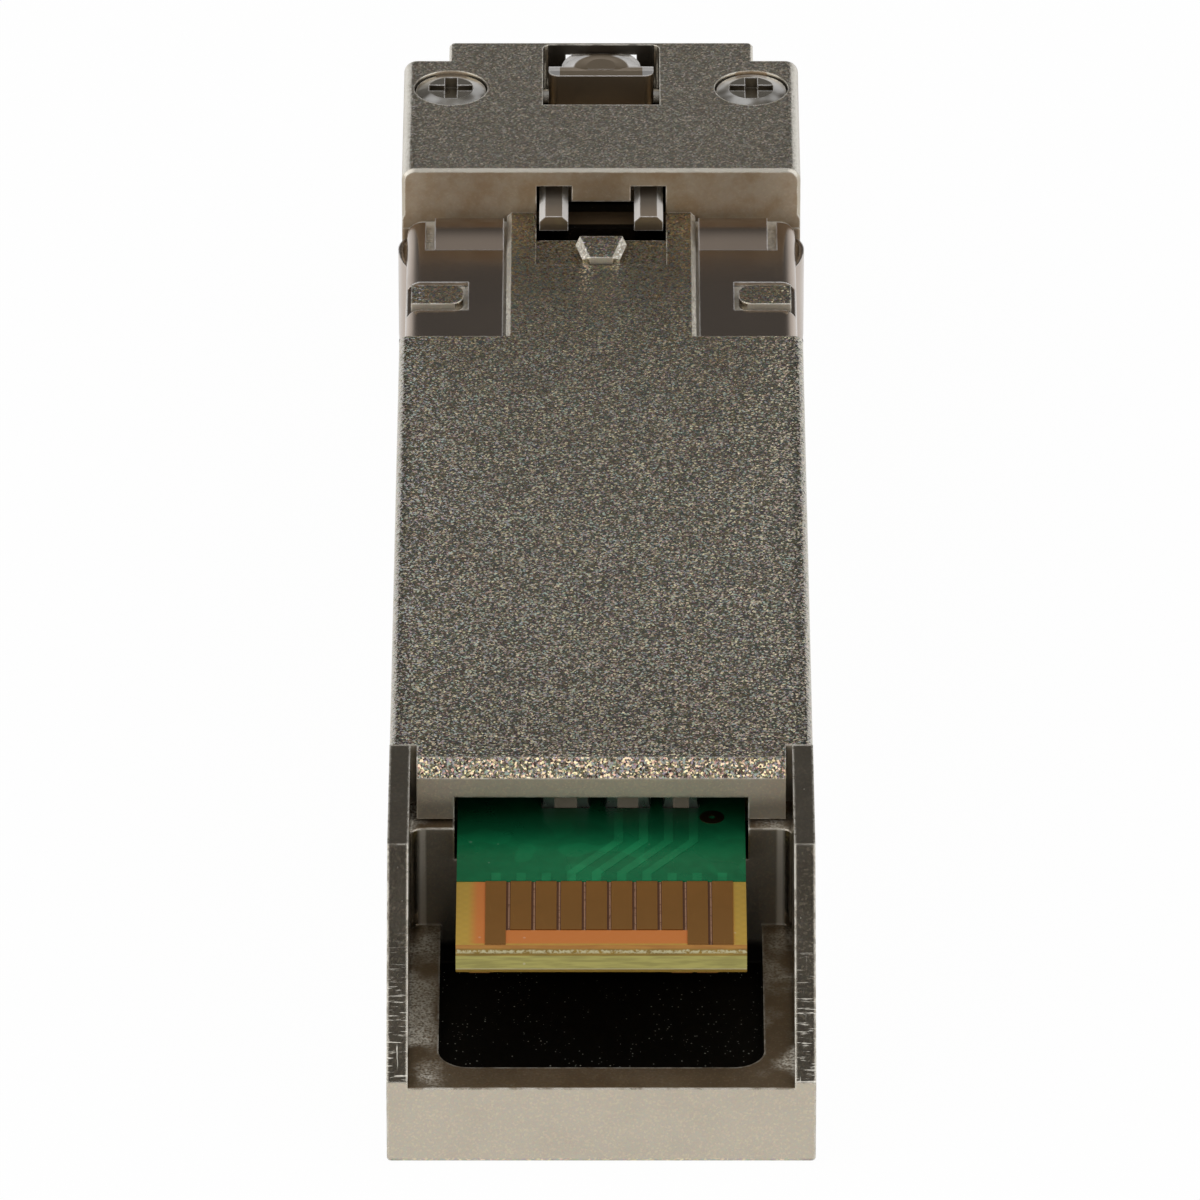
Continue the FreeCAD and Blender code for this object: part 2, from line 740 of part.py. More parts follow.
def make_nose_screws():
    """Two cross-recess screws with sloping rims to their heads."""
    rim_z = head_height - screw_rim_drop
    head = rod_z(screw_seat_z, rim_z, 0, 0, screw_head_radius)
    crown = Part.makeCone(screw_head_radius, screw_head_radius - screw_rim_width, screw_rim_drop,
                          Vector(0, 0, rim_z))
    shank = rod_z(screw_end_z, screw_seat_z, 0, 0, screw_shank_radius)
    half = screw_cross_length / 2
    arm = screw_cross_width / 2
    floor = head_height - screw_cross_depth
    cross = block(-half, half, -arm, arm, floor, far_up).fuse(block(-arm, arm, -half, half, floor, far_up))
    screw = head.fuse([crown, shank]).cut(cross)
    screw.translate(Vector(screw_x, screw_y, 0))
    return Part.makeCompound([one_solid(piece) for piece in on_both_sides(screw)])


def make_circuit_board():
    tail = across(board_tail_width / 2, board_end_y, board_end_y + board_tail_length, board_z, board_top_z)
    tail = tail.makeChamfer(board_bevel, [edge for edge in tail.Edges
                                          if near(edge.CenterOfMass.y, board_end_y)
                                          and not near(abs(edge.CenterOfMass.x), board_tail_width / 2)])
    main = across(board_half, board_end_y + board_tail_length, board_front_y, board_z, board_top_z)
    return one_solid(tail.fuse(main))


def make_edge_contacts():
    """Plated contacts on both faces of the board's tail."""
    pads = []
    start_y = board_end_y + contact_start
    for index in range(contact_count):
        length = contact_length_long if index in long_contacts else contact_length_short
        x = (index - (contact_count - 1) / 2) * contact_pitch
        for offset, z in ((contact_offset, board_top_z), (-contact_offset, board_z - contact_thickness)):
            middle = x + offset
            pads.append(block(middle - contact_width / 2, middle + contact_width / 2,
                              start_y - length, start_y, z, z + contact_thickness))
    return Part.makeCompound(pads)


def turned(profile):
    """Turn (radius, y) points about the port axis."""
    face = closed_face([Vector(port_x + radius, y, port_axis_height) for radius, y in profile])
    return face.revolve(Vector(port_x, 0, port_axis_height), Vector(0, 1, 0), 360)


def make_barrel():
    """Receptacle barrel: tube into the port, two flanges and the groove that the retainer grips."""
    bore = sleeve_radius + sleeve_fit
    bore_end = barrel_tip_y - sleeve_length
    return turned([
        (0, bore_end), (bore, bore_end), (bore, barrel_tip_y), (barrel_radius, barrel_tip_y),
        (barrel_radius, bulkhead_y), (flange_radius, bulkhead_y), (flange_radius, flange_end_y),
        (groove_radius, flange_end_y), (groove_radius, groove_end_y), (flange_radius, groove_end_y),
        (flange_radius, can_front_y), (0, can_front_y)])


def make_sleeve():
    return turned([
        (sleeve_bore_radius, barrel_tip_y - sleeve_length), (sleeve_radius, barrel_tip_y - sleeve_length),
        (sleeve_radius, barrel_tip_y), (sleeve_bore_radius, barrel_tip_y)])


def pin_places():
    for index in range(pin_count):
        angle = 2 * math.pi * (index + 0.5) / pin_count
        yield (port_x + pin_circle_radius * math.cos(angle),
               port_axis_height + pin_circle_radius * math.sin(angle))


def make_can():
    """Sealed can with its header and the leads that the flex is soldered to."""
    can = turned([(0, can_front_y), (can_radius, can_front_y), (can_radius, header_front_y),
                  (header_radius, header_front_y), (header_radius, header_rear_y), (0, header_rear_y)])
    pins = [rod_y(header_rear_y - flex_stand_off, header_rear_y, x, z, pin_radius) for x, z in pin_places()]
    return one_solid(can.fuse(pins))


def make_flex():
    """Flexible circuit from the leads up and over to the board's latch-side face."""
    face_y = header_rear_y - flex_stand_off
    low_z = port_axis_height - flex_lower_reach
    level = board_top_z + flex_thickness
    outer_bend = flex_bend + flex_thickness
    end_y = board_front_y - flex_tail
    turn = 1 / math.sqrt(2)
    centre_y = face_y - outer_bend
    centre_z = level - outer_bend

    def bend(radius):
        return Part.Arc(Vector(0, centre_y + radius, centre_z),
                        Vector(0, centre_y + radius * turn, centre_z + radius * turn),
                        Vector(0, centre_y, centre_z + radius)).toShape()

    outer = bend(outer_bend)
    inner = bend(flex_bend)
    back_y = face_y - flex_thickness
    edges = [Part.makeLine(Vector(0, face_y, low_z), Vector(0, face_y, centre_z)), outer,
             Part.makeLine(Vector(0, centre_y, level), Vector(0, end_y, level)),
             Part.makeLine(Vector(0, end_y, level), Vector(0, end_y, board_top_z)),
             Part.makeLine(Vector(0, end_y, board_top_z), Vector(0, centre_y, board_top_z)), inner,
             Part.makeLine(Vector(0, back_y, centre_z), Vector(0, back_y, low_z)),
             Part.makeLine(Vector(0, back_y, low_z), Vector(0, face_y, low_z))]
    strip = Part.Face(Part.Wire(Part.__sortEdges__(edges))).extrude(Vector(flex_width, 0, 0))
    strip.translate(Vector(port_x - flex_width / 2, 0, 0))
    return strip


def make_optics_retainer():
    """Plate that drops into the barrels' grooves and holds both optical subassemblies."""
    front = flange_end_y - retainer_clearance
    back = groove_end_y + retainer_clearance
    top = optics_ceiling_z - retainer_clearance
    plate = across(optics_half - retainer_clearance, back, front, floor_thickness, top)
    reach = groove_radius + retainer_clearance
    slot = rod_y(back - overrun, front + overrun, port_x, port_axis_height, reach)
    way = block(port_x - reach, port_x + reach, back - overrun, front + overrun, port_axis_height, far_up)
    return one_solid(plate.cut(on_both_sides(slot) + on_both_sides(way)))


def under_board(place, length, width, height):
    x, y = place
    return block(x - width / 2, x + width / 2, y - length / 2, y + length / 2, board_z - height, board_z)


def on_board(place, length, width, height):
    x, y = place
    return block(x - width / 2, x + width / 2, y - length / 2, y + length / 2,
                 board_top_z, board_top_z + height)


def make_thermal_pad():
    x, y = driver_place
    half = driver_size / 2
    top = board_z - driver_height
    return block(x - half, x + half, y - half, y + half, top - thermal_pad_thickness, top)


def make_tail_capacitors():
    """Chip capacitors just inside the cover's rear wall."""
    y = cover_wall_y + tail_chip_gap + tail_chip_width / 2
    return Part.makeCompound([on_board((x, y), tail_chip_width, length, tail_chip_height)
                              for x, length in tail_chips])


def chip_rows_at(shift):
    for x in chip_columns:
        for row in range(chip_rows):
            yield x, chip_first_row - row * chip_row_pitch - shift


def make_chip_capacitors():
    return Part.makeCompound([on_board(place, chip_length, chip_width, chip_height)
                              for place in chip_rows_at(0)])


def make_chip_resistors():
    return Part.makeCompound([on_board(place, chip_length, chip_width, resistor_height)
                              for place in chip_rows_at(resistor_shift)])


pieces = {
    "top_housing": make_top_housing(),
    "bottom_housing": make_bottom_housing(),
    "emi_collar": make_emi_collar(),
    "release_slider": make_release_slider(),
    "bail": make_bail(),
    "bail_grip": make_bail_grip(),
    "nose_screws": make_nose_screws(),
    "circuit_board": make_circuit_board(),
    "edge_contacts": make_edge_contacts(),
    "transmitter_barrel": mirrored(make_barrel()),
    "transmitter_sleeve": mirrored(make_sleeve()),
    "transmitter_can": mirrored(make_can()),
    "transmitter_flex": mirrored(make_flex()),
    "receiver_barrel": make_barrel(),
    "receiver_sleeve": make_sleeve(),
    "receiver_can": make_can(),
    "receiver_flex": make_flex(),
    "optics_retainer": make_optics_retainer(),
    "laser_driver": under_board(driver_place, driver_size, driver_size, driver_height),
    "receive_amplifier": under_board(amplifier_place, amplifier_size, amplifier_size, amplifier_height),
    "controller": under_board(controller_place, controller_size, controller_size, controller_height),
    "memory_chip": on_board(memory_place, memory_length, memory_width, memory_height),
    "thermal_pad": make_thermal_pad(),
    "tail_capacitors": make_tail_capacitors(),
    "chip_capacitors": make_chip_capacitors(),
    "chip_resistors": make_chip_resistors(),
}

os.makedirs("parts", exist_ok=True)
for name, shape in pieces.items():
    shape.translate(Vector(0, shift_y, 0))
    shape.exportStep("parts/" + name + ".step")
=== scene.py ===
import math
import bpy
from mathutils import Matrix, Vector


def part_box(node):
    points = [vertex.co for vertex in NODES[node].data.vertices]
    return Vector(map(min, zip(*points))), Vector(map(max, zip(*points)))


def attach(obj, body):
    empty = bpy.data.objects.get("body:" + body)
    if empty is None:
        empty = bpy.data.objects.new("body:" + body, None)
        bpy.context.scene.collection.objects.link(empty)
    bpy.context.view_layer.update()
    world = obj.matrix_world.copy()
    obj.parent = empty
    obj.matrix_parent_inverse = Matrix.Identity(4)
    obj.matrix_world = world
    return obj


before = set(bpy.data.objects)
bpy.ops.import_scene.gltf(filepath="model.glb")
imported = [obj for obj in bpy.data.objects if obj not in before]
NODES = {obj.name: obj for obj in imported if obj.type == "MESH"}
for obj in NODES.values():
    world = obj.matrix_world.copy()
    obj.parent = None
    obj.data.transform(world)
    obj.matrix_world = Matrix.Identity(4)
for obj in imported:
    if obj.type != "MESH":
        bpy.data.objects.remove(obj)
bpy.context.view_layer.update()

from types import SimpleNamespace

import bmesh
import bpy
from mathutils import Vector

bl_info = {
    "name": "Pluggable optical transceiver looks",
    "version": (1, 0, 0),
    "blender": (4, 5, 0),
    "location": "3D View > Sidebar > Transceiver",
    "description": "Finishes the castings, latch, board and optics of a small pluggable optical transceiver",
    "category": "Object",
}

MM = 0.001
HALF = 0.5
TURN = 2.0 * math.pi

# how far a face has to turn towards an axis to count as sloping to it, and as square to it
SLOPING, SQUARE = 0.5, 0.9

# the photograph's viewpoint, in metres
CAMERA_PLACE = (-0.000058, -0.439835, 0.25591)
CAMERA_TARGET = (-0.00004, -0.000615, 0.004)
SENSOR_WIDTH = 36.0
LENS = 458.8
CLIP_START, CLIP_END = 0.01, 20.0

# the two square lamps and the floor, in metres
KEY_PLACE = (-1.34, -0.66, 0.86)
FILL_PLACE = (1.34, -0.62, 0.9)
LAMP_TARGET = (0.0, 0.0, 0.0)
LAMP_SIZE = 2.4
FLOOR_REACH = 6.0
FLOOR_DROP = 0.02 * MM


# ---------------------------------------------------------------- settings


def colour_setting(name, description, default):
    return bpy.props.FloatVectorProperty(
        name=name, description=description, default=default,
        subtype="COLOR", size=3, min=0.0, max=1.0,
    )


def length_setting(name, description, millimetres):
    return bpy.props.FloatProperty(
        name=name, description=description, default=millimetres * MM,
        subtype="DISTANCE", unit="LENGTH", min=0.0, precision=6,
    )


def share_setting(name, description, default):
    return bpy.props.FloatProperty(
        name=name, description=description, default=default,
        subtype="FACTOR", min=0.0, max=1.0,
    )


def power_setting(name, description, watts):
    return bpy.props.FloatProperty(
        name=name, description=description, default=watts, unit="POWER", min=0.0)


class CastingSettings(bpy.types.PropertyGroup):
    """Finish of the two plated castings"""

    nickel: colour_setting("Nickel", "Colour of the plating", (0.49, 0.437, 0.35))
    # the dark nickel is also painted shade on the inner upward faces, and the outer faces turn to it towards
    # the rear
    nickel_dark: colour_setting("Stained nickel", "Colour of the plating's dull spots", (0.34, 0.29, 0.22))
    brown: colour_setting("Brown stain", "Colour of the stains on the walls", (0.3, 0.2, 0.11))
    golden: colour_setting("Golden grain", "Colour of the grain on the rear bevel", (0.29, 0.24, 0.18))
    # painted shade: near-black for the pockets, the foot of the walls, inner corners, the smooth slopes and
    # the outer faces' margins
    painted_shade: colour_setting("Shade", "Colour of corners and recesses", (0.012, 0.011, 0.009))
    # pale colour for scuffed edges and scratched slopes, and for painted highlights on bevels, step edge,
    # recess floor and low walls
    scuff_and_highlight: colour_setting("Lighter edge", "Colour of rubbed edges and scratches", (0.84, 0.8, 0.71))
    dust: colour_setting("Dust", "Colour of the specks of dust", (0.6, 0.62, 0.55))
    roughness: share_setting("Roughness", "Roughness of the grain's facets", 0.17)
    facet: length_setting("Facet", "Width of one facet of the cast grain", 0.06)
    tilt: share_setting("Tilt", "How far the facets lean", 0.56)
    edge: length_setting("Edge", "Width of the rounded, brighter edges", 0.085)
    head_start: length_setting("Head", "Where the calmer head starts", 17.9)
    collar_start: length_setting("Collar", "Where the recess of the collar starts", 9.4)
    # the recess floor at this height takes a painted highlight
    recess_level: length_setting("Recess level", "Height of the recess under the collar's flaps", 8.15)
    bed_start: length_setting("Latch pocket", "Where the latch pocket starts", 16.4)
    bed_half: length_setting("Latch pocket half", "Half of the width of the latch pocket", 2.4)
    # below this height the latch pocket takes painted shade
    bed_level: length_setting("Latch pocket level", "Height below which the latch pocket is dark", 8.3)
    bar_middle: length_setting("Bar", "Middle of the browned bar across the latch pocket", 18.75)
    slot_start: length_setting("Slot", "Where the slot of the head starts", 22.0)
    # the outer faces take painted shade from just inside this distance outwards
    margin: length_setting("Margin", "Distance from the middle where the faces' darker margin is full", 6.6)
    parting: length_setting("Parting", "Height of the line where the two castings meet", 6.45)
    # below this height the rear pocket takes painted shade
    pocket_floor: length_setting("Pocket level", "Height below which the rear pocket is dull and dark", 2.6)
    pocket_half: length_setting("Pocket half", "Half of the width of the rear pocket", 5.3)
    # the low walls take painted highlights in strips at this distance
    strip: length_setting("Strip", "Distance from the middle of the bright strips on the low walls", 5.72)
    # the powder on the ledges is painted lighter towards the sides from here
    powder: length_setting("Powder", "Distance from the middle where the ledges start to be powdery", 4.7)


class CollarSettings(bpy.types.PropertyGroup):
    """Finish of the spring collar"""

    steel: colour_setting("Spring sheet", "Colour of the rolled sheet", (0.4, 0.325, 0.265))
    roughness: share_setting("Roughness", "Roughness of the rolled sheet", 0.17)
    edge: length_setting("Edge", "Width of the sheet's bright edges", 0.075)


class ReleaseSettings(bpy.types.PropertyGroup):
    """Finish of the slider and the screws"""

    slider: colour_setting("Slider", "Colour of the slider's plating", (0.4, 0.31, 0.21))
    screw: colour_setting("Screw", "Colour of the screws' plating", (0.5, 0.45, 0.37))
    edge: length_setting("Edge", "Width of the bright edges", 0.06)
    # the lug's far arcs and the block's shoulders take painted highlights
    lug_reach: length_setting("Lug", "Distance of the lug's middle from the slider's front end", 2.03)
    lug_radius: length_setting("Lug radius", "Radius where the lug's bright arcs are full", 0.98)
    block_half: length_setting("Block", "Half of the width inside the block's bright shoulders", 1.42)


class BailSettings(bpy.types.PropertyGroup):
    """Finish of the bail and its grip"""

    wire: colour_setting("Wire", "Colour of the drawn wire", (0.6, 0.58, 0.54))
    grip: colour_setting("Grip", "Colour of the moulded grip", (0.68, 0.58, 0.4))


class BoardSettings(bpy.types.PropertyGroup):
    """Finish and printed layers of the circuit board"""

    laminate: colour_setting("Laminate", "Colour of the bare glass laminate", (0.52, 0.33, 0.06))
    bare_end: colour_setting("Bare end", "Colour of the bare end round the contacts", (0.6, 0.2, 0.05))
    mask: colour_setting("Mask", "Colour of the solder mask", (0.006, 0.15, 0.055))
    trace: colour_setting("Trace", "Colour of the mask over copper", (0.011, 0.2, 0.075))
    gap: colour_setting("Gap", "Colour of the laminate between two contacts", (0.1, 0.042, 0.02))
    gap_line: colour_setting("Gap line", "Colour of the bright line along each contact", (0.36, 0.21, 0.13))
    sawn: colour_setting("Sawn end", "Colour of the laminate's cut end", (0.43, 0.385, 0.115))
    # also the painted highlight along the lower part of the board's cut end
    splinter_and_highlight: colour_setting("Splinters", "Colour of torn glass along the bevel", (0.46, 0.42, 0.25))
    gold: colour_setting("Gold", "Colour of the contacts' plating", (0.95, 0.46, 0.13))
    via: colour_setting("Via", "Colour of the tarnished ring of the via", (0.12, 0.075, 0.03))
    mask_thickness: length_setting("Mask thickness", "Height of the mask over the laminate", 0.03)
    mask_edge: length_setting("Mask edge", "Distance from the board's end to the mask", 4.12)
    trace_width: length_setting("Trace width", "Width of a covered trace", 0.3)
    stub: length_setting("Stub", "Length of the covered copper behind each contact", 0.5)
    tail_half: length_setting("Tail", "Half of the width of the board's tail", 4.6)
    tail_length: length_setting("Tail length", "Distance from the board's end to its shoulders", 9.6)
    bare_half: length_setting("Bare half", "Half of the width of the bare end round the contacts", 4.27)
    via_x: length_setting("Via place", "Distance of the via from the board's middle", 3.54)
    via_y: length_setting("Via reach", "Distance of the via from the board's end", 8.1)


class ChipSettings(bpy.types.PropertyGroup):
    """Finish and terminals of the parts on the board"""

    epoxy: colour_setting("Epoxy", "Colour of the moulded packages", (0.022, 0.022, 0.025))
    capacitor: colour_setting("Capacitor", "Colour of the fired capacitors", (0.3, 0.26, 0.2))
    resistor: colour_setting("Resistor", "Colour of the resistors' film", (0.03, 0.03, 0.034))
    solder: colour_setting("Solder", "Colour of the tinned ends", (0.66, 0.66, 0.64))
    cap_share: share_setting("Terminal share", "Share of a chip's length under each terminal", 0.24)
    lead_pitch: length_setting("Lead pitch", "Distance between two leads of a package", 0.5)


class OpticsSettings(bpy.types.PropertyGroup):
    """Finish of the two optical subassemblies"""

    barrel: colour_setting("Barrel", "Colour of the turned barrels", (0.6, 0.58, 0.54))
    ceramic: colour_setting("Ceramic", "Colour of the split sleeves", (0.86, 0.84, 0.79))
    can: colour_setting("Can", "Colour of the flashed cans", (0.7, 0.52, 0.24))
    film: colour_setting("Film", "Colour of the flexible circuits", (0.5, 0.22, 0.04))
    retainer: colour_setting("Retainer", "Colour of the retainer's plastic", (0.03, 0.03, 0.03))
    pad: colour_setting("Pad", "Colour of the soft pad", (0.42, 0.48, 0.54))


class StageSettings(bpy.types.PropertyGroup):
    """Floor, light and camera"""

    floor: colour_setting("Floor", "Colour of the floor", (0.95, 0.95, 0.95))
    floor_glow: share_setting("Floor glow", "Share of the floor that shows as plain white", 0.975)
    dusk: share_setting("Room", "Light from every side of the room", 0.115)
    sweep: share_setting("Sweep", "Light added low on the far and left sides by the white sweep", 0.75)
    ceiling: share_setting("Ceiling", "Light added from above", 0.3)
    key_power: power_setting("Key", "Power of the large lamp on the left", 26.0)
    fill_power: power_setting("Fill", "Power of the large lamp on the right", 24.0)


# ---------------------------------------------------------------- wiring of node trees


# places of the colour sockets of a Mix node
MIX_FACTOR, MIX_FIRST, MIX_SECOND, MIX_RESULT = 0, 6, 7, 2


class Wiring:
    """Adds nodes to one node tree; a number or a socket may stand for any input."""

    def __init__(self, tree):
        self.tree = tree

    def feed(self, socket, value):
        if isinstance(value, bpy.types.NodeSocket):
            self.tree.links.new(value, socket)
        elif isinstance(socket.default_value, float):
            socket.default_value = value
        elif len(socket.default_value) == 4 and len(value) == 3:
            socket.default_value = (*value, 1.0)
        else:
            socket.default_value = value

    def node(self, kind, inputs=(), **settings):
        made = self.tree.nodes.new(kind)
        for name, value in settings.items():
            setattr(made, name, value)
        for name, value in dict(inputs).items():
            self.feed(made.inputs[name], value)
        return made

    def calc(self, operation, *values, clamp=False):
        made = self.node("ShaderNodeMath", operation=operation, use_clamp=clamp)
        for socket, value in zip(made.inputs, values):
            self.feed(socket, value)
        return made.outputs[0]

    def times(self, first, *others):
        for other in others:
            first = self.calc("MULTIPLY", first, other)
        return first

    def most(self, first, *others):
        for other in others:
            first = self.calc("MAXIMUM", first, other)
        return first

    def above(self, value, limit):
        return self.calc("GREATER_THAN", value, limit)

    def below(self, value, limit):
        return self.calc("LESS_THAN", value, limit)

    def rest(self, value):
        return self.calc("SUBTRACT", 1.0, value)

    def graded(self, value, gain, base, clamp=False):
        return self.calc("MULTIPLY_ADD", value, gain, base, clamp=clamp)

    def unsigned(self, value):
        return self.calc("ABSOLUTE", value)

    def off(self, value, middle):
        return self.unsigned(self.calc("SUBTRACT", value, middle))

    def vector(self, operation, *values):
        made = self.node("ShaderNodeVectorMath", operation=operation)
        for socket, value in zip(made.inputs, values):
            self.feed(socket, value)
        return made.outputs["Value" if operation == "DOT_PRODUCT" else "Vector"]

    def scaled(self, vector, factor):
        made = self.node("ShaderNodeVectorMath", {"Scale": factor}, operation="SCALE")
        self.feed(made.inputs[0], vector)
        return made.outputs["Vector"]

    def centred(self, colour):
        return self.vector("SUBTRACT", colour, (HALF, HALF, HALF))

    def ramp(self, value, start, end, low=0.0, high=1.0):
        made = self.node(
            "ShaderNodeMapRange",
            {"Value": value, "From Min": start, "From Max": end, "To Min": low, "To Max": high},
            interpolation_type="SMOOTHSTEP",
        )
        return made.outputs["Result"]

    def blend(self, factor, first, second, blend_type="MIX"):
        made = self.node("ShaderNodeMix", data_type="RGBA", blend_type=blend_type)
        self.feed(made.inputs[MIX_FACTOR], factor)
        self.feed(made.inputs[MIX_FIRST], first)
        self.feed(made.inputs[MIX_SECOND], second)
        return made.outputs[MIX_RESULT]

    def place(self):
        return self.node("ShaderNodeTexCoord").outputs["Object"]

    def axes(self, vector):
        made = self.node("ShaderNodeSeparateXYZ", {"Vector": vector})
        return made.outputs["X"], made.outputs["Y"], made.outputs["Z"]

    def facing(self):
        return self.node("ShaderNodeNewGeometry").outputs["Normal"]

    def noise(self, vector, scale, detail=2.0, roughness=0.5):
        return self.node(
            "ShaderNodeTexNoise",
            {"Vector": vector, "Scale": scale, "Detail": detail, "Roughness": roughness},
        ).outputs

    def patches(self, vector, scale, start, end, detail=2.0, roughness=0.5, low=0.0):
        return self.ramp(self.noise(vector, scale, detail, roughness)["Fac"], start, end, low)

    def cells(self, vector, scale):
        return self.node("ShaderNodeTexVoronoi", {"Vector": vector, "Scale": scale}).outputs

    def bump(self, strength, distance, height, **normal):
        made = self.node(
            "ShaderNodeBump", {"Strength": strength, "Distance": distance, "Height": height, **normal})
        return made.outputs["Normal"]

    def group(self, name, **inputs):
        made = self.node("ShaderNodeGroup", node_tree=shared_group(name))
        for label, value in inputs.items():
            self.feed(made.inputs[label.title()], value)
        return made.outputs


def new_group(name, inputs, outputs):
    """An empty shader node group with those sockets; returns its wiring, inputs and outputs."""
    tree = bpy.data.node_groups.new(name, "ShaderNodeTree")
    for label, kind, default in inputs:
        socket = tree.interface.new_socket(label, in_out="INPUT", socket_type=kind)
        if default is not None:
            socket.default_value = default
    for label, kind in outputs:
        tree.interface.new_socket(label, in_out="OUTPUT", socket_type=kind)
    entry = tree.nodes.new("NodeGroupInput")
    leave = tree.nodes.new("NodeGroupOutput")
    return Wiring(tree), entry.outputs, leave.inputs


FLOAT, VECTOR, COLOUR = "NodeSocketFloat", "NodeSocketVector", "NodeSocketColor"


def make_edge_group():
    """Rounded edges, a mask of the outer ones and a mask of inner corners."""
    w, given, out = new_group(
        "Rounded Edges",
        [("Radius", FLOAT, 0.05 * MM), ("Sharpness", FLOAT, 6.0)],
        [("Normal", VECTOR), ("Edge", FLOAT), ("Corner", FLOAT)],
    )
    rounded = w.node("ShaderNodeBevel", {"Radius": given["Radius"]}, samples=6).outputs["Normal"]
    reach = w.times(given["Radius"], 4.0)
    sky = w.node("ShaderNodeAmbientOcclusion", {"Distance": reach}, samples=4, only_local=True).outputs["AO"]
    away = w.rest(w.vector("DOT_PRODUCT", rounded, w.facing()))
    bent = w.calc("MULTIPLY", away, given["Sharpness"], clamp=True)
    w.feed(out["Normal"], rounded)
    w.feed(out["Edge"], w.times(bent, w.ramp(sky, 0.78, 0.95)))
    w.feed(out["Corner"], w.ramp(sky, 0.85, 0.4))
    return w.tree


def make_grain_group():
    """Leaning facets of a cast and plated skin, a glint and a tint for each facet, and slow stains."""
    w, given, out = new_group(
        "Cast Grain",
        [("Normal", VECTOR, None), ("Facet", FLOAT, 0.1 * MM), ("Tilt", FLOAT, 0.3)],
        [("Normal", VECTOR), ("Glint", FLOAT), ("Stain", FLOAT), ("Tint", COLOUR)],
    )
    place = w.place()
    per_metre = w.calc("DIVIDE", 1.0, given["Facet"])
    warp = w.centred(w.noise(place, w.times(per_metre, 0.8), detail=1.0)["Color"])
    moved = w.vector("ADD", place, w.scaled(warp, w.times(given["Facet"], 0.9)))
    cell = w.cells(moved, per_metre)["Color"]
    ripple = w.centred(w.noise(place, w.times(per_metre, 1.6))["Color"])
    lean = w.vector("ADD", w.centred(cell), w.scaled(ripple, 0.6))
    tilted = w.vector("ADD", given["Normal"], w.scaled(lean, given["Tilt"]))
    w.feed(out["Normal"], w.vector("NORMALIZE", tilted))
    first, third = w.axes(cell)[::2]
    w.feed(out["Glint"], w.ramp(first, 0.7, 0.98))
    tint = w.node("ShaderNodeCombineXYZ", {"X": first, "Y": third, "Z": w.rest(first)})
    w.feed(out["Tint"], tint.outputs["Vector"])
    w.feed(out["Stain"], w.patches(place, w.times(per_metre, 0.035), 0.4, 0.72, detail=4.0, roughness=0.6))
    return w.tree


def make_scratch_group():
    """Thin lines; Stretch gives how closely they lie along each axis, per metre, Amount how many show."""
    w, given, out = new_group(
        "Fine Scratches",
        [("Stretch", VECTOR, None), ("Amount", FLOAT, 0.5)],
        [("Lines", FLOAT), ("Height", FLOAT)],
    )
    stretched = w.vector("MULTIPLY", w.place(), given["Stretch"])
    lines = w.noise(stretched, 1.0, detail=3.0, roughness=0.65)["Fac"]
    floor = w.calc("SUBTRACT", 0.78, w.times(given["Amount"], 0.3))
    w.feed(out["Lines"], w.ramp(lines, floor, w.calc("ADD", floor, 0.1)))
    w.feed(out["Height"], lines)
    return w.tree


def make_dust_group():
    """Small pale specks that lie thinly over a surface, and a film in slow patches."""
    w, given, out = new_group(
        "Dust Specks",
        [("Spacing", FLOAT, 0.3 * MM), ("Amount", FLOAT, 0.3)],
        [("Specks", FLOAT), ("Film", FLOAT)],
    )
    place = w.place()
    per_metre = w.calc("DIVIDE", 1.0, given["Spacing"])
    cell = w.cells(place, per_metre)
    chance, size = w.axes(cell["Color"])[:2]
    reach = w.calc("ADD", w.times(size, 0.16), 0.05)
    near = w.rest(w.ramp(cell["Distance"], w.times(reach, 0.6), reach))
    w.feed(out["Specks"], w.times(w.below(chance, given["Amount"]), near))
    w.feed(out["Film"], w.patches(place, w.times(per_metre, 0.12), 0.35, 0.75, detail=3.0))
    return w.tree


GROUP_MAKERS = {
    "edges": make_edge_group, "grain": make_grain_group,
    "scratches": make_scratch_group, "dust": make_dust_group,
}
GROUPS = {}


def shared_group(name):
    """A shared node group, made when it is first asked for."""
    if name not in GROUPS:
        GROUPS[name] = GROUP_MAKERS[name]()
    return GROUPS[name]


# colours of the dust on plastic, on bare laminate and on the mask
PLASTIC_DUST, LAMINATE_DUST, MASK_DUST = (0.6, 0.58, 0.54), (0.7, 0.66, 0.55), (0.4, 0.5, 0.42)


def toned(colour, factor, lift=0.0):
    """A colour made darker or lighter, at most white."""
    return tuple(min(1.0, factor * c + lift) for c in colour)


def new_finish(name, roughness, metallic=0.0, **plain):
    """A material with its shader; returns the material, its wiring and the shader's inputs."""
    material = bpy.data.materials.new(name)
    material.use_nodes = True
    shader = material.node_tree.nodes["Principled BSDF"]
    shader.inputs["Roughness"].default_value = roughness
    shader.inputs["Metallic"].default_value = metallic
    for socket, value in plain.items():
        shader.inputs[socket.replace("_", " ")].default_value = value
    return material, Wiring(material.node_tree), shader.inputs


def dress(node_name, material):
    """Gives a CAD node its finish."""
    node = NODES[node_name]
    if not node.material_slots:
        node.data.materials.append(material)
    for place in node.material_slots:
        place.material = material


# ---------------------------------------------------------------- meshes


def new_piece(name, bm, material, body):
    """Turns a bmesh into a piece that rides on a body."""
    bmesh.ops.recalc_face_normals(bm, faces=bm.faces)
    mesh = bpy.data.meshes.new(name)
    bm.to_mesh(mesh)
    bm.free()
    mesh.materials.append(material)
    piece = bpy.data.objects.new(name, mesh)
    bpy.context.scene.collection.objects.link(piece)
    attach(piece, body)
    return piece


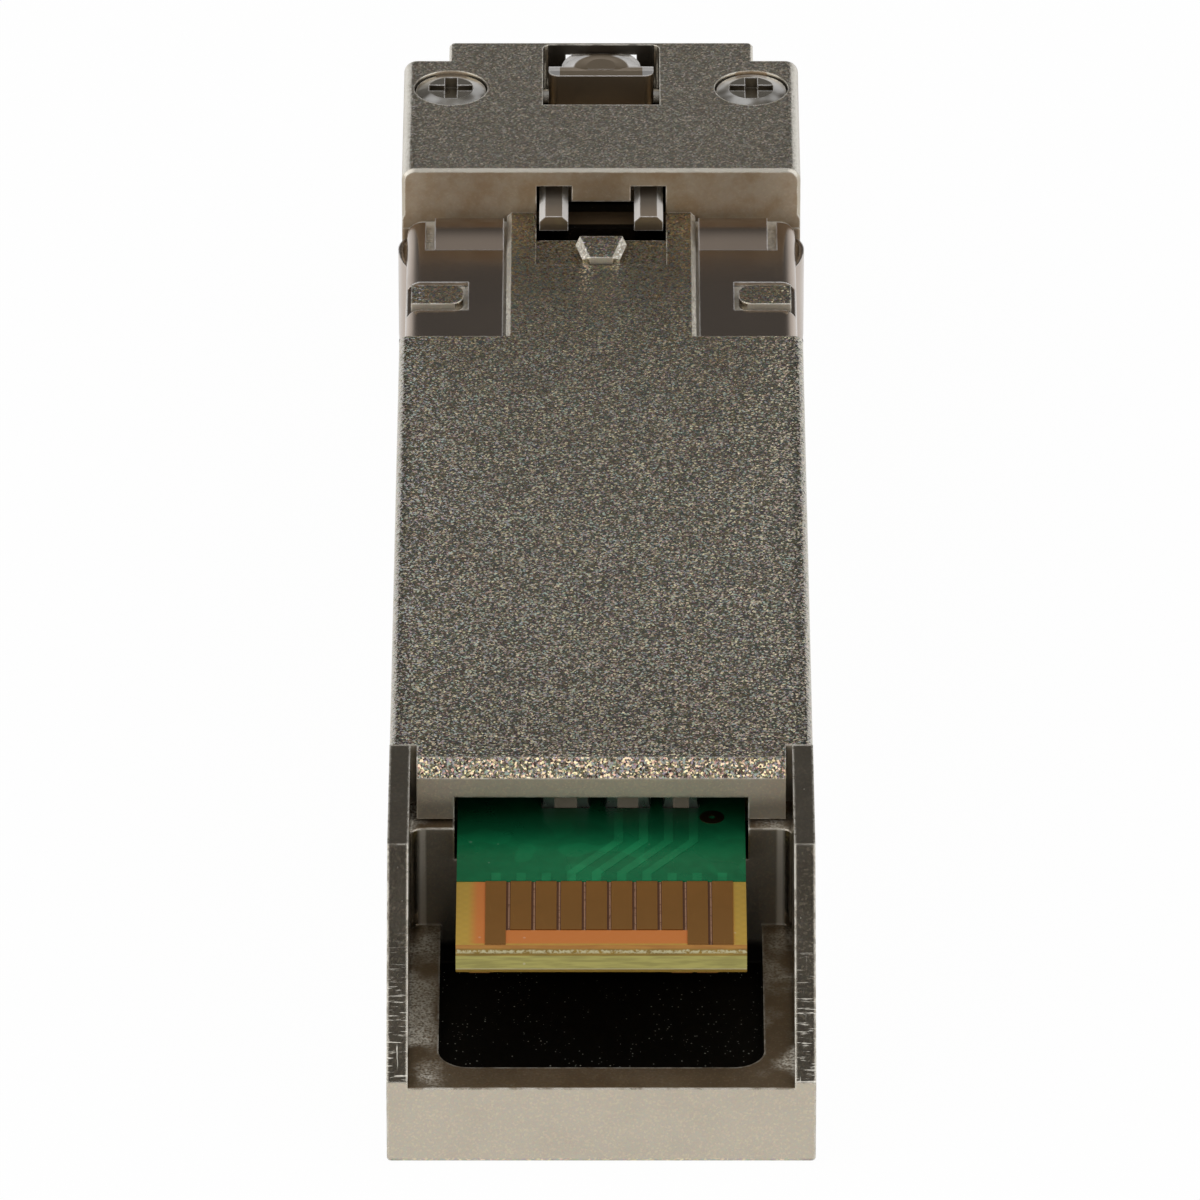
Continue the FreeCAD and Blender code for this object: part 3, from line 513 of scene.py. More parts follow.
def add_block(bm, low, high):
    """A block between two corners; returns its vertices."""
    ring = ((low[0], low[1]), (high[0], low[1]), (high[0], high[1]), (low[0], high[1]))
    corners = [bm.verts.new((x, y, z)) for z in (low[2], high[2]) for x, y in ring]
    for face in ((0, 1, 2, 3), (4, 5, 6, 7), (0, 1, 5, 4), (1, 2, 6, 5), (2, 3, 7, 6), (3, 0, 4, 7)):
        bm.faces.new([corners[i] for i in face])
    return corners


def islands(node_name):
    """The boxes of a node's separate solids, lowest corner first, in order of place."""
    weld = 0.0001 * MM
    bm = bmesh.new()
    bm.from_mesh(NODES[node_name].data)
    bmesh.ops.remove_doubles(bm, verts=bm.verts, dist=weld)
    left, boxes = set(bm.verts), []
    while left:
        queue, seen = [left.pop()], []
        while queue:
            vert = queue.pop()
            seen.append(vert.co.copy())
            for edge in vert.link_edges:
                other = edge.other_vert(vert)
                if other in left:
                    left.remove(other)
                    queue.append(other)
        low = Vector(min(p[i] for p in seen) for i in range(3))
        high = Vector(max(p[i] for p in seen) for i in range(3))
        boxes.append((low, high))
    bm.free()
    return sorted(boxes, key=lambda b: tuple(round(v, 6) for v in b[0]))


def add_sheet(bm, low, high, openings):
    """A thin sheet with square openings, cut along the lines of its openings."""
    xs, ys = {low[0], high[0]}, {low[1], high[1]}
    for x0, y0, x1, y1 in openings:
        xs.update(min(max(x, low[0]), high[0]) for x in (x0, x1))
        ys.update(min(max(y, low[1]), high[1]) for y in (y0, y1))
    xs, ys = sorted(xs), sorted(ys)

    def solid(i, j):
        if not (0 <= i < len(xs) - 1 and 0 <= j < len(ys) - 1):
            return False
        x, y = (xs[i] + xs[i + 1]) * HALF, (ys[j] + ys[j + 1]) * HALF
        return not any(x0 < x < x1 and y0 < y < y1 for x0, y0, x1, y1 in openings)

    corners = {}

    def corner(i, j, z):
        key = (i, j, z)
        if key not in corners:
            corners[key] = bm.verts.new((xs[i], ys[j], z))
        return corners[key]

    for i in range(len(xs) - 1):
        for j in range(len(ys) - 1):
            if not solid(i, j):
                continue
            for z in (low[2], high[2]):
                ring = ((i, j), (i + 1, j), (i + 1, j + 1), (i, j + 1))
                bm.faces.new([corner(*spot, z) for spot in ring])
            for near, a, b in (
                ((i - 1, j), (i, j), (i, j + 1)), ((i + 1, j), (i + 1, j), (i + 1, j + 1)),
                ((i, j - 1), (i, j), (i + 1, j)), ((i, j + 1), (i, j + 1), (i + 1, j + 1)),
            ):
                if not solid(*near):
                    ring = ((*a, low[2]), (*b, low[2]), (*b, high[2]), (*a, high[2]))
                    bm.faces.new([corner(*spot) for spot in ring])


def add_run(bm, points, width, low_z, high_z):
    """A flat trace through points in one plane, mitred at its bends."""
    points = [Vector(point) for point in points]
    rails = []
    for i, point in enumerate(points):
        before = (point - points[i - 1]).normalized() if i else None
        after = (points[i + 1] - point).normalized() if i + 1 < len(points) else None
        back, ahead = before or after, after or before
        middle = (back + ahead).normalized()
        across = Vector((-middle.y, middle.x))
        offset = across * (width * HALF / across.dot(Vector((-back.y, back.x))))
        ring = []
        for sign, z in ((1, low_z), (-1, low_z), (-1, high_z), (1, high_z)):
            spot = point + sign * offset
            ring.append(bm.verts.new((spot.x, spot.y, z)))
        rails.append(ring)
    for first, second in zip(rails, rails[1:]):
        for a in range(4):
            b = (a + 1) % 4
            bm.faces.new([first[a], first[b], second[b], second[a]])
    bm.faces.new(rails[0])
    bm.faces.new(rails[-1])


def add_ring(bm, centre, inner, outer, low_z, high_z, steps=24):
    """A flat ring round a hole."""
    rows = []
    for radius, z in ((inner, low_z), (outer, low_z), (outer, high_z), (inner, high_z)):
        rows.append([
            bm.verts.new((centre[0] + radius * math.cos(a), centre[1] + radius * math.sin(a), z))
            for a in (TURN * i / steps for i in range(steps))
        ])
    for first, second in zip(rows, rows[1:] + rows[:1]):
        for i in range(steps):
            j = (i + 1) % steps
            bm.faces.new([first[i], first[j], second[j], second[i]])


# ---------------------------------------------------------------- castings


def casting_zones(w, settings, place, rear_y, rise):
    """Masks of a casting's faces, from where they lie and which way they face."""
    x, y, z = w.axes(place)
    nx, ny, nz = w.axes(w.facing())
    wide = w.unsigned(x)
    outer = w.ramp(w.times(nz, rise), 0.2, 0.6)
    head = w.ramp(y, settings.head_start, settings.head_start + 0.1 * MM)
    slope = w.times(w.below(ny, -SLOPING), w.above(nz, SLOPING))
    flat = w.above(nz, SQUARE)
    low = w.below(z, settings.parting)
    inward = w.above(y, rear_y + 0.9 * MM)
    wall = w.times(w.below(ny, -SQUARE), inward)
    ledge = w.times(flat, low)
    under = w.ramp(z, settings.pocket_floor, settings.pocket_floor - 0.6 * MM)
    pocket = w.times(w.below(wide, settings.pocket_half), inward, under)
    bed_side = w.times(w.below(wide, settings.bed_half), w.above(y, settings.bed_start))
    slot_wall = w.times(wall, w.above(y, settings.slot_start))
    bed = w.times(bed_side, w.most(w.below(z, settings.bed_level), slot_wall))
    return SimpleNamespace(
        y=y, z=z, wide=wide, nx=nx, nz=nz, outer=outer, head=head, slope=slope, flat=flat, wall=wall,
        chamfer=w.times(slope, outer),
        dull=w.most(wall, ledge),
        low_wall=w.times(wall, low),
        pocket=pocket,
        shelf=w.times(ledge, w.rest(pocket)),
        bed=bed,
        bar=w.times(bed, w.calc("COMPARE", y, settings.bar_middle, 0.45 * MM)),
        smooth=w.times(w.rest(outer), w.above(nz, SLOPING)),
        drift=w.patches(place, 420.0, 0.42, 0.6, detail=3.0),
    )


def casting_shadow(w, settings, zones, corner):
    """The mask of a casting's painted shade: the pockets, the foot of its walls and its inner corners."""
    # painted shade on the latch pocket's bed (less on its bar), the rear pocket, the foot of the walls and
    # inner corners
    in_bed = w.calc("SUBTRACT", w.times(zones.bed, 0.93), w.times(zones.bar, 0.5))
    above_parting = w.ramp(zones.z, settings.parting + 1.1 * MM, settings.parting + 0.4 * MM)
    foot = w.times(zones.wall, w.rest(zones.head), above_parting, 0.5)
    return w.most(w.times(zones.pocket, 0.97), in_bed, foot, w.times(corner, 0.55))


def casting_scuffs_and_highlights(w, settings, zones, place, edge, rear_y):
    """The mask of a casting's scuffs and painted highlights: edges lighter from scuffs and as highlights,
    painted highlights on bevels, step edge, the collar's recess floor and the low walls' strips, torn slopes,
    and powder on the ledges painted lighter towards the sides.
    """
    y, wide, slope = zones.y, zones.wide, zones.slope
    cross = w.group("scratches", stretch=(1300.0, 14000.0, 14000.0), amount=0.75)["Lines"]
    down = w.group("scratches", stretch=(8000.0, 700.0, 700.0), amount=0.4)["Lines"]
    near_end = w.ramp(y, rear_y + 4.2 * MM, rear_y + 0.6 * MM)
    torn = w.times(slope, near_end, w.most(cross, down))
    streak = w.times(slope, down, 0.15)
    # painted highlights on the leaning bevels and along the step edge, stronger towards the nose
    leaning = w.times(w.ramp(w.unsigned(zones.nx), 0.3, 0.5), w.above(zones.nz, 0.3), zones.outer)
    step_edge = w.times(slope, zones.head, 0.75)
    towards_nose = w.ramp(y, 8.0 * MM, 10.0 * MM, 0.4, 0.75)
    bevels = w.times(w.most(leaning, step_edge), towards_nose)
    # painted highlight on the collar's recess floor
    at_level = w.calc("COMPARE", zones.z, settings.recess_level, 0.06 * MM)
    recess = w.times(zones.flat, w.above(y, settings.collar_start), at_level, 0.85)
    # painted highlight: bright strips on the low walls
    strip = w.times(w.ramp(w.off(wide, settings.strip), 0.16 * MM, 0.05 * MM), zones.low_wall, 0.5)
    # powder on the ledges, painted lighter towards the sides
    powder = w.patches(place, 12000.0, 0.2, 0.8)
    beside = w.ramp(wide, settings.powder, settings.powder + 1.0 * MM, 0.1, 1.4)
    powder_and_sheen = w.times(zones.shelf, zones.drift, powder, beside)
    # edges lighter from scuffs and as painted highlights, broken here and there
    chips = w.patches(place, 2600.0, 0.36, 0.6, detail=3.0, low=0.3)
    return w.most(w.times(edge, chips), torn, streak, bevels, recess, strip, powder_and_sheen)


def casting_colour(w, settings, zones, place, grain, grained, rear_y):
    """The colour of a casting's plating: stains, browned walls, golden bevel, glinting and tinted facets,
    painted shade on the smooth slopes, inner upward faces and outer margins, darker towards the rear.
    """
    outer, head = zones.outer, zones.head
    cloud = w.times(grain["Stain"], w.graded(outer, 0.4, 0.12))
    # darker towards the rear of the outer faces
    towards_rear = w.ramp(zones.y, rear_y + 22.0 * MM, rear_y + 11.0 * MM, 0.0, 0.6)
    darker_to_rear = w.times(towards_rear, outer)
    # the inner upward faces turn to the dark nickel as painted shade
    stain_and_shade = w.most(cloud, darker_to_rear, w.times(zones.smooth, 0.8))
    plain = w.blend(stain_and_shade, settings.nickel, settings.nickel_dark)
    blotch = w.patches(place, 900.0, 0.32, 0.66, detail=4.0, roughness=0.65)
    tanned = w.times(zones.wall, head, w.graded(blotch, 0.4, 0.5))
    browned = w.blend(w.most(tanned, zones.bar, w.times(zones.shelf, 0.7)), plain, settings.brown)
    golden = w.blend(w.times(zones.chamfer, w.rest(head)), browned, settings.golden)
    # painted shade on the smooth slopes
    slope_shaded = w.blend(w.times(zones.slope, zones.smooth, 0.55), golden, settings.painted_shade)
    glinting = w.blend(w.times(grain["Glint"], grained, 0.8), slope_shaded, toned(settings.nickel, 1.8))
    tinted = w.blend(w.times(grained, 0.26), glinting, grain["Tint"], "OVERLAY")
    # painted shade towards the long sides of the outer faces
    margin = w.times(w.ramp(zones.wide, settings.margin - 0.45 * MM, settings.margin), outer)
    return w.blend(w.times(margin, 0.4), tinted, settings.painted_shade)


def casting_finish(name, settings, rear_y, rise, dullness, rounding):
    """Nickel over a cast skin: grained on the side that rise points to, dull on walls, painted shade in the
    recesses.

    dullness is the matt share of its walls and ledges, rounding scales the width of its edges."""
    material, w, shader = new_finish(name, settings.roughness, metallic=1.0)
    place = w.place()
    zones = casting_zones(w, settings, place, rear_y, rise)
    edges = w.group("edges", radius=rounding * settings.edge, sharpness=9.0)
    calm = w.most(w.times(zones.head, w.graded(zones.slope, 0.25, 0.6)), w.times(zones.chamfer, -0.15))
    grained = w.times(w.graded(zones.outer, 0.86, 0.14), w.rest(calm))
    lean = w.times(grained, settings.tilt)
    grain = w.group("grain", normal=edges["Normal"], facet=settings.facet, tilt=lean)

    plated = casting_colour(w, settings, zones, place, grain, grained, rear_y)
    dark = casting_shadow(w, settings, zones, edges["Corner"])
    lightened = casting_scuffs_and_highlights(w, settings, zones, place, edges["Edge"], rear_y)
    # the plating with its painted shade, then scuffs and painted highlights in the pale colour
    highlighted = w.blend(lightened, w.blend(dark, plated, settings.painted_shade), settings.scuff_and_highlight)
    settled = w.times(zones.pocket, w.graded(zones.drift, 0.75, 0.25))
    specks = w.group("dust", spacing=0.15 * MM, amount=w.calc("ADD", settled, 0.06))["Specks"]
    dusty = w.times(specks, w.above(zones.nz, 0.6), w.graded(zones.pocket, 0.6, 0.4))
    w.feed(shader["Base Color"], w.blend(dusty, highlighted, settings.dust))

    matt = w.most(w.times(lightened, 0.6), w.times(zones.dull, dullness), dusty,
                  w.times(zones.head, 0.04), w.times(zones.bar, 0.7))
    w.feed(shader["Metallic"], w.rest(matt))
    coarse = w.most(zones.dull, matt, w.times(zones.head, 0.4))
    rough = w.graded(grain["Stain"], 0.06, settings.roughness)
    w.feed(shader["Roughness"], w.graded(coarse, 0.26, rough, clamp=True))
    w.feed(shader["Normal"], grain["Normal"])
    return material


class TRANSCEIVER_OT_castings(bpy.types.Operator):
    """Plates the two castings in grained nickel"""

    bl_idname = "transceiver.castings"
    bl_label = "Castings"

    def execute(self, context):
        settings = context.scene.transceiver_castings
        rear_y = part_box("top_housing")[0].y
        dress("top_housing", casting_finish(
            "Top casting nickel", settings, rear_y, rise=-1.0, dullness=0.05, rounding=1.5))
        dress("bottom_housing", casting_finish(
            "Latch side casting nickel", settings, rear_y, rise=1.0, dullness=0.46, rounding=1.0))
        return {"FINISHED"}


# ---------------------------------------------------------------- collar, slider, screws, bail


def sheet_metal_finish(name, colour, roughness, edge, stretch, lines, matt=0.0, painted_highlights=None):
    """Plated or rolled metal: fine lines along one axis, edges lighter from scuffs and as painted highlights,
    faint smudges, painted shade in corners.

    matt is its dull share; the last argument makes two masks of painted highlights, of faces painted bright
    and of faces painted pale and matt."""
    material, w, shader = new_finish(name, roughness, metallic=1.0)
    edges = w.group("edges", radius=edge, sharpness=11.0)
    scratches = w.group("scratches", stretch=stretch, amount=0.45)
    film = w.group("dust", spacing=0.4 * MM, amount=0.1)["Film"]
    scuff_and_highlight = toned(colour, 0.25, lift=0.735)
    smudged = w.blend(w.times(film, 0.5), colour, toned(colour, 0.78))
    lined = w.blend(w.times(scratches["Lines"], lines), smudged, toned(colour, 1.3))
    # painted shade in inner corners
    corner_shaded = w.blend(w.times(edges["Corner"], 0.6), lined, toned(colour, 0.1))
    lightened = w.times(edges["Edge"], w.ramp(scratches["Height"], 0.3, 0.6, 0.6, 1.0))
    # painted highlights: bright faces, and pale matt faces
    if painted_highlights:
        highlighted, matt_highlight = painted_highlights(w)
        lightened = w.most(lightened, matt_highlight)
        corner_shaded = w.blend(highlighted, corner_shaded, scuff_and_highlight)
    w.feed(shader["Base Color"], w.blend(lightened, corner_shaded, scuff_and_highlight))
    w.feed(shader["Metallic"], w.calc("SUBTRACT", 1.0 - matt, w.times(lightened, 0.85), clamp=True))
    w.feed(shader["Roughness"], w.graded(lightened, 0.12, w.graded(film, 0.1, roughness)))
    w.feed(shader["Normal"], w.bump(0.12, 0.004 * MM, scratches["Height"], Normal=edges["Normal"]))
    return material


def slider_highlights(settings, front_y):
    """Makes the masks of the slider's painted highlights: bright on the block's shoulders, pale and matt on
    the tines' bevels and tops and the lug's far arcs."""
    lug_y = front_y - settings.lug_reach
    lug_ring = settings.lug_radius - 0.1 * MM

    def masks(w):
        x, y = w.axes(w.place())[:2]
        nx, nz = w.axes(w.facing())[::2]
        wide = w.unsigned(x)
        raised = w.above(nz, 0.3)
        bevel = w.times(w.above(w.unsigned(nx), 0.4), w.above(nz, 0.4))
        top = w.times(w.above(nz, SQUARE), 0.24)
        tine = w.times(w.most(bevel, top), w.below(y, lug_y - 4.0 * MM))
        shoulder = w.times(raised, w.above(wide, settings.block_half), w.above(y, lug_y - 1.2 * MM))
        past = w.calc("SUBTRACT", y, lug_y)
        radius = w.calc("SQRT", w.calc("ADD", w.times(x, x), w.times(past, past)))
        ring = w.times(w.ramp(radius, lug_ring, settings.lug_radius), raised)
        sideways = w.ramp(w.calc("DIVIDE", wide, radius), 0.3, 0.5)
        arc = w.times(ring, sideways, w.ramp(past, -0.1 * MM, 0.15 * MM))
        return shoulder, w.most(tine, arc)

    return masks


def screw_highlights(w):
    """The masks of a screw head's sloping rim, painted bright, and here and there pale and matt: painted
    highlights.
    """
    nz = w.axes(w.facing())[2]
    rim = w.times(w.above(nz, 0.6), w.below(nz, 0.995))
    spots = w.patches(w.place(), 900.0, 0.4, 0.62)
    return w.times(rim, w.graded(spots, 0.6, 0.1)), w.times(rim, spots, 0.5)


class TRANSCEIVER_OT_collar(bpy.types.Operator):
    """Finishes the folded spring collar"""

    bl_idname = "transceiver.collar"
    bl_label = "Spring collar"

    def execute(self, context):
        settings = context.scene.transceiver_collar
        dress("emi_collar", sheet_metal_finish(
            "Rolled spring sheet", settings.steel, settings.roughness, settings.edge,
            stretch=(9000.0, 500.0, 9000.0), lines=0.35))
        return {"FINISHED"}


class TRANSCEIVER_OT_release(bpy.types.Operator):
    """Finishes the release slider and the two nose screws"""

    bl_idname = "transceiver.release"
    bl_label = "Slider and screws"

    def execute(self, context):
        settings = context.scene.transceiver_release
        front_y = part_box("release_slider")[1].y
        dress("release_slider", sheet_metal_finish(
            "Slider plating", settings.slider, 0.34, settings.edge,
            stretch=(7000.0, 600.0, 7000.0), lines=0.4, matt=0.05, painted_highlights=slider_highlights(settings, front_y)))
        dress("nose_screws", sheet_metal_finish(
            "Screw plating", settings.screw, 0.2, settings.edge,
            stretch=(5000.0, 5000.0, 700.0), lines=0.3, painted_highlights=screw_highlights))
        return {"FINISHED"}


def moulded_finish(name, colour, roughness, pore):
    """Moulded plastic: fine spark-eroded skin, flow blotches, rubbed edges and dust."""
    material, w, shader = new_finish(name, roughness)
    edges = w.group("edges", radius=0.05 * MM)
    dust = w.group("dust", spacing=0.5 * MM, amount=0.12)
    skin = w.noise(w.place(), 1.0 / pore, detail=3.0)["Fac"]
    flowed = w.blend(w.times(dust["Film"], 0.6), colour, toned(colour, 0.86))
    lightened = w.blend(w.times(edges["Edge"], 0.5), flowed, toned(colour, 1.25, lift=0.015))
    w.feed(shader["Base Color"], w.blend(w.times(dust["Specks"], 0.25), lightened, PLASTIC_DUST))
    w.feed(shader["Roughness"], w.graded(skin, 0.14, roughness - 0.06))
    w.feed(shader["Normal"], w.bump(0.35, 0.012 * MM, skin, Normal=edges["Normal"]))
    return material


class TRANSCEIVER_OT_bail(bpy.types.Operator):
    """Finishes the wire bail and its moulded grip"""

    bl_idname = "transceiver.bail"
    bl_label = "Bail and grip"

    def execute(self, context):
        settings = context.scene.transceiver_bail
        dress("bail", sheet_metal_finish(
            "Drawn bail wire", settings.wire, 0.22, 0.03 * MM, stretch=(9000.0, 9000.0, 500.0), lines=0.35))
        dress("bail_grip", moulded_finish("Grip plastic", settings.grip, 0.48, pore=0.06 * MM))
        return {"FINISHED"}


# ---------------------------------------------------------------- circuit board


def wave(w, value, pitch):
    return w.calc("SINE", w.times(value, TURN / pitch))


def contact_gaps(w, x, y, flat, pads):
    """The mask of the gaps between the contacts, and of the line that runs along each."""
    width, last = pads.width, pads.last
    beside = w.times(w.above(x, pads.first), w.below(x, last))
    pair = w.times(beside, w.above(x, last - pads.pitch - HALF * width))
    reach = w.most(w.times(beside, w.above(y, pads.short_y)), w.times(pair, w.above(y, pads.long_y)))
    gap = w.times(reach, flat)
    phase = w.calc("FRACT", w.calc("DIVIDE", w.calc("SUBTRACT", x, pads.first), pads.pitch))
    share = width / pads.pitch
    middle = share + 0.68 * (1.0 - share)
    return gap, w.times(w.ramp(w.off(phase, middle), 0.04, 0.015), gap)


def laminate_finish(settings, zone, pads):
    """Glass laminate: weave, orange bare end, dark gaps with a light line between contacts, rough bevel, and a
    painted highlight along the lower part of the cut end.
    """
    material, w, shader = new_finish("Glass laminate", 0.42, Coat_Weight=0.08, Specular_IOR_Level=0.3)
    laminate, (low, high) = settings.laminate, zone
    place = w.place()
    x, y, z = w.axes(place)
    ny, nz = w.axes(w.facing())[1:]
    weave = w.times(wave(w, x, 0.42 * MM), wave(w, y, 0.36 * MM))
    grit = w.noise(place, 9000.0)["Fac"]
    flat = w.above(w.unsigned(nz), SQUARE)
    bare = w.blend(w.graded(weave, HALF, HALF), laminate, toned(laminate, 0.93))
    inside_x = w.times(w.ramp(x, low.x, low.x + 0.4 * MM), w.ramp(x, high.x, high.x - 0.3 * MM))
    inside = w.times(inside_x, w.ramp(y, low.y, low.y + 0.16 * MM), flat)
    ended = w.blend(inside, bare, settings.bare_end)
    gap, line = contact_gaps(w, x, y, flat, pads)
    gapped = w.blend(gap, ended, settings.gap)
    parted = w.blend(w.times(line, w.ramp(grit, 0.25, 0.5)), gapped, settings.gap_line)

    level = w.calc("DIVIDE", w.calc("SUBTRACT", z, high.z), low.z - high.z)
    sloped = w.times(w.below(ny, -SLOPING), w.above(nz, SLOPING))
    sawn = w.below(w.unsigned(nz), SLOPING)
    fibres = w.patches(w.vector("MULTIPLY", place, (900.0, 9000.0, 9000.0)), 1.0, 0.35, 0.65, detail=3.0)
    end_tone = w.blend(fibres, settings.sawn, toned(settings.sawn, 0.72))
    bevel_tone = w.blend(fibres, toned(laminate, 0.52), toned(laminate, 0.34))
    cut = w.blend(sloped, w.blend(sawn, parted, end_tone), bevel_tone)
    # painted highlight along the lower part of the cut end
    lower_edge_lit = w.blend(w.times(sawn, w.ramp(level, 0.7, 0.74)), cut, settings.splinter_and_highlight)
    upper = w.times(sloped, w.ramp(level, 0.12, 0.06))
    browned = w.blend(w.times(upper, 0.35), lower_edge_lit, settings.bare_end)
    ragged = w.graded(w.calc("SUBTRACT", grit, HALF), 0.09, level)
    torn = w.times(w.ramp(w.off(ragged, 0.16), 0.05, 0.02), sloped, w.ramp(grit, 0.35, 0.6))
    splintered = w.blend(torn, browned, settings.splinter_and_highlight)
    specks = w.group("dust", spacing=0.35 * MM, amount=0.12)["Specks"]
    w.feed(shader["Base Color"], w.blend(w.times(specks, 0.3), splintered, LAMINATE_DUST))
    w.feed(shader["Roughness"], w.graded(w.most(sawn, sloped), 0.35, 0.34))
    w.feed(shader["Normal"], w.bump(0.25, 0.006 * MM, weave))
    return material


def mask_finish(name, colour, wall_y):
    """Glossy solder mask: paler over poured copper, painted shade towards the wall, with small flow marks and
    dust.
    """
    material, w, shader = new_finish(
        name, 0.3, Coat_Weight=0.08, Coat_Roughness=0.12, Specular_IOR_Level=0.25)
    dust = w.group("dust", spacing=0.3 * MM, amount=0.15)
    place = w.place()
    flow = w.noise(place, 2600.0, detail=3.0)["Fac"]
    pour = w.patches(place, 620.0, 0.53, 0.56, detail=1.0)
    body = w.blend(flow, toned(colour, 0.75), toned(colour, 1.2))
    poured = w.blend(w.times(pour, 0.3), body, toned(colour, 1.6))
    # painted shade towards the wall
    dim = w.ramp(w.axes(place)[1], wall_y - 1.9 * MM, wall_y, 0.0, 0.75)
    shaded = w.blend(dim, poured, toned(colour, 0.12))
    w.feed(shader["Base Color"], w.blend(w.times(dust["Specks"], 0.2), shaded, MASK_DUST))
    w.feed(shader["Roughness"], w.graded(dust["Film"], 0.14, 0.26))
    w.feed(shader["Normal"], w.bump(0.2, 0.008 * MM, w.graded(flow, 0.5, pour)))
    return material


def gold_finish(name, colour, roughness, end_shade=0.0):
    """Hard gold plating with wipe marks along the board and faint tarnish; end_shade paints shade on the faces
    that point to the board's end.
    """
    material, w, shader = new_finish(name, roughness, metallic=1.0)
    wipes = w.group("scratches", stretch=(14000.0, 500.0, 9000.0), amount=0.5)
    film = w.group("dust", spacing=0.35 * MM, amount=0.15)["Film"]
    body = w.blend(w.times(film, 0.6), colour, toned(colour, 0.6))
    lined = w.blend(w.times(wipes["Lines"], 0.35), body, toned(colour, 1.25))
    # painted shade on the faces that point to the board's end
    ends = w.below(w.axes(w.facing())[1], -SLOPING)
    w.feed(shader["Base Color"], w.blend(w.times(ends, end_shade), lined, toned(colour, 0.1)))
    w.feed(shader["Roughness"], w.graded(film, 0.12, roughness))
    w.feed(shader["Normal"], w.bump(0.15, 0.004 * MM, wipes["Height"]))
    return material


# contacts whose traces leave together in a slanting bundle
BUNDLE = range(3, 7)


def trace_route(number, x, edge_y, shoulder_y, stub):
    """Points of the covered trace behind a contact: slanting in the bundle, and elsewhere a short stub."""
    start, turn = (x, edge_y + 0.02 * MM), edge_y + stub
    if number not in BUNDLE:
        return [start, (x, turn)]
    shift, rise, stop = 1.5 * MM, 2.0 * MM, shoulder_y - 1.2 * MM
    return [start, (x, turn), (x + shift, turn + rise), (x + shift, stop)]


PACKAGES = ("laser_driver", "receive_amplifier", "controller", "memory_chip")
CHIPS = ("tail_capacitors", "chip_capacitors", "chip_resistors")


def chip_openings(face_z, reach):
    """Square openings round every part that stands on the board face at that height."""
    found = []
    for name in PACKAGES + CHIPS:
        for low, high in islands(name):
            if min(abs(low.z - face_z), abs(high.z - face_z)) < 0.02 * MM:
                found.append((low.x - reach, low.y - reach, high.x + reach, high.y + reach))
    return found


class TRANSCEIVER_OT_board(bpy.types.Operator):
    """Lays the mask and traces on the circuit board and finishes board and contacts"""

    bl_idname = "transceiver.board"
    bl_label = "Circuit board"

    def execute(self, context):
        settings = context.scene.transceiver_board
        low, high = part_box("circuit_board")
        wall_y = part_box("bottom_housing")[0].y
        contacts = islands("edge_contacts")
        edge_y = low.y + settings.mask_edge
        shoulder_y = low.y + settings.tail_length
        bare = settings.bare_half
        zone = (Vector((-bare, low.y + 0.25 * MM, low.z)), Vector((bare, edge_y, high.z)))
        upper = [c for c in contacts if c[0].z > (low.z + high.z) * HALF]
        starts = [c[0].y for c in upper]
        first = upper[0][0].x
        pads = SimpleNamespace(
            first=first, pitch=upper[1][0].x - first, width=upper[0][1].x - first,
            last=upper[-1][1].x, short_y=max(starts), long_y=min(starts))
        # long_y is where the contacts that reach nearer to the end start, short_y where the others do
        dress("circuit_board", laminate_finish(settings, zone, pads))
        dress("edge_contacts", gold_finish("Contact gold", settings.gold, 0.32, end_shade=0.9))
        mask = mask_finish("Solder mask", settings.mask, wall_y)
        over_copper = mask_finish("Mask over copper", settings.trace, wall_y)
        inset, beside, clearance, copper = 0.1 * MM, 1.0 * MM, 0.06 * MM, 0.012 * MM
        tail = settings.tail_half
        corners = [(-tail - beside, low.y, -tail, shoulder_y), (tail, low.y, tail + beside, shoulder_y)]
        for label, face_z, sign in (("upper", high.z, 1.0), ("lower", low.z, -1.0)):
            top_z = face_z + sign * settings.mask_thickness
            bm = bmesh.new()
            add_sheet(bm, (low.x + inset, edge_y, min(face_z, top_z)),
                      (high.x - inset, high.y - inset, max(face_z, top_z)),
                      chip_openings(face_z, clearance) + corners)
            new_piece(f"board_mask_{label}", bm, mask, "housing")
            bm = bmesh.new()
            trace_z = top_z + sign * copper
            rows = [c for c in contacts if (c[0].z >= face_z - 0.01 * MM) == (sign > 0)]
            for number, (c_low, c_high) in enumerate(rows):
                points = trace_route(number, (c_low.x + c_high.x) * HALF, edge_y, shoulder_y, settings.stub)
                add_run(bm, points, settings.trace_width, min(top_z, trace_z), max(top_z, trace_z))
            new_piece(f"board_traces_{label}", bm, over_copper, "housing")
        bm = bmesh.new()
        ring_z = high.z + settings.mask_thickness + 0.014 * MM
        centre = (settings.via_x, low.y + settings.via_y)
        add_ring(bm, centre, 0.1 * MM, 0.4 * MM, high.z, ring_z)
        new_piece("board_via_ring", bm, gold_finish("Via ring", settings.via, 0.4), "housing")
        return {"FINISHED"}


# ---------------------------------------------------------------- chips


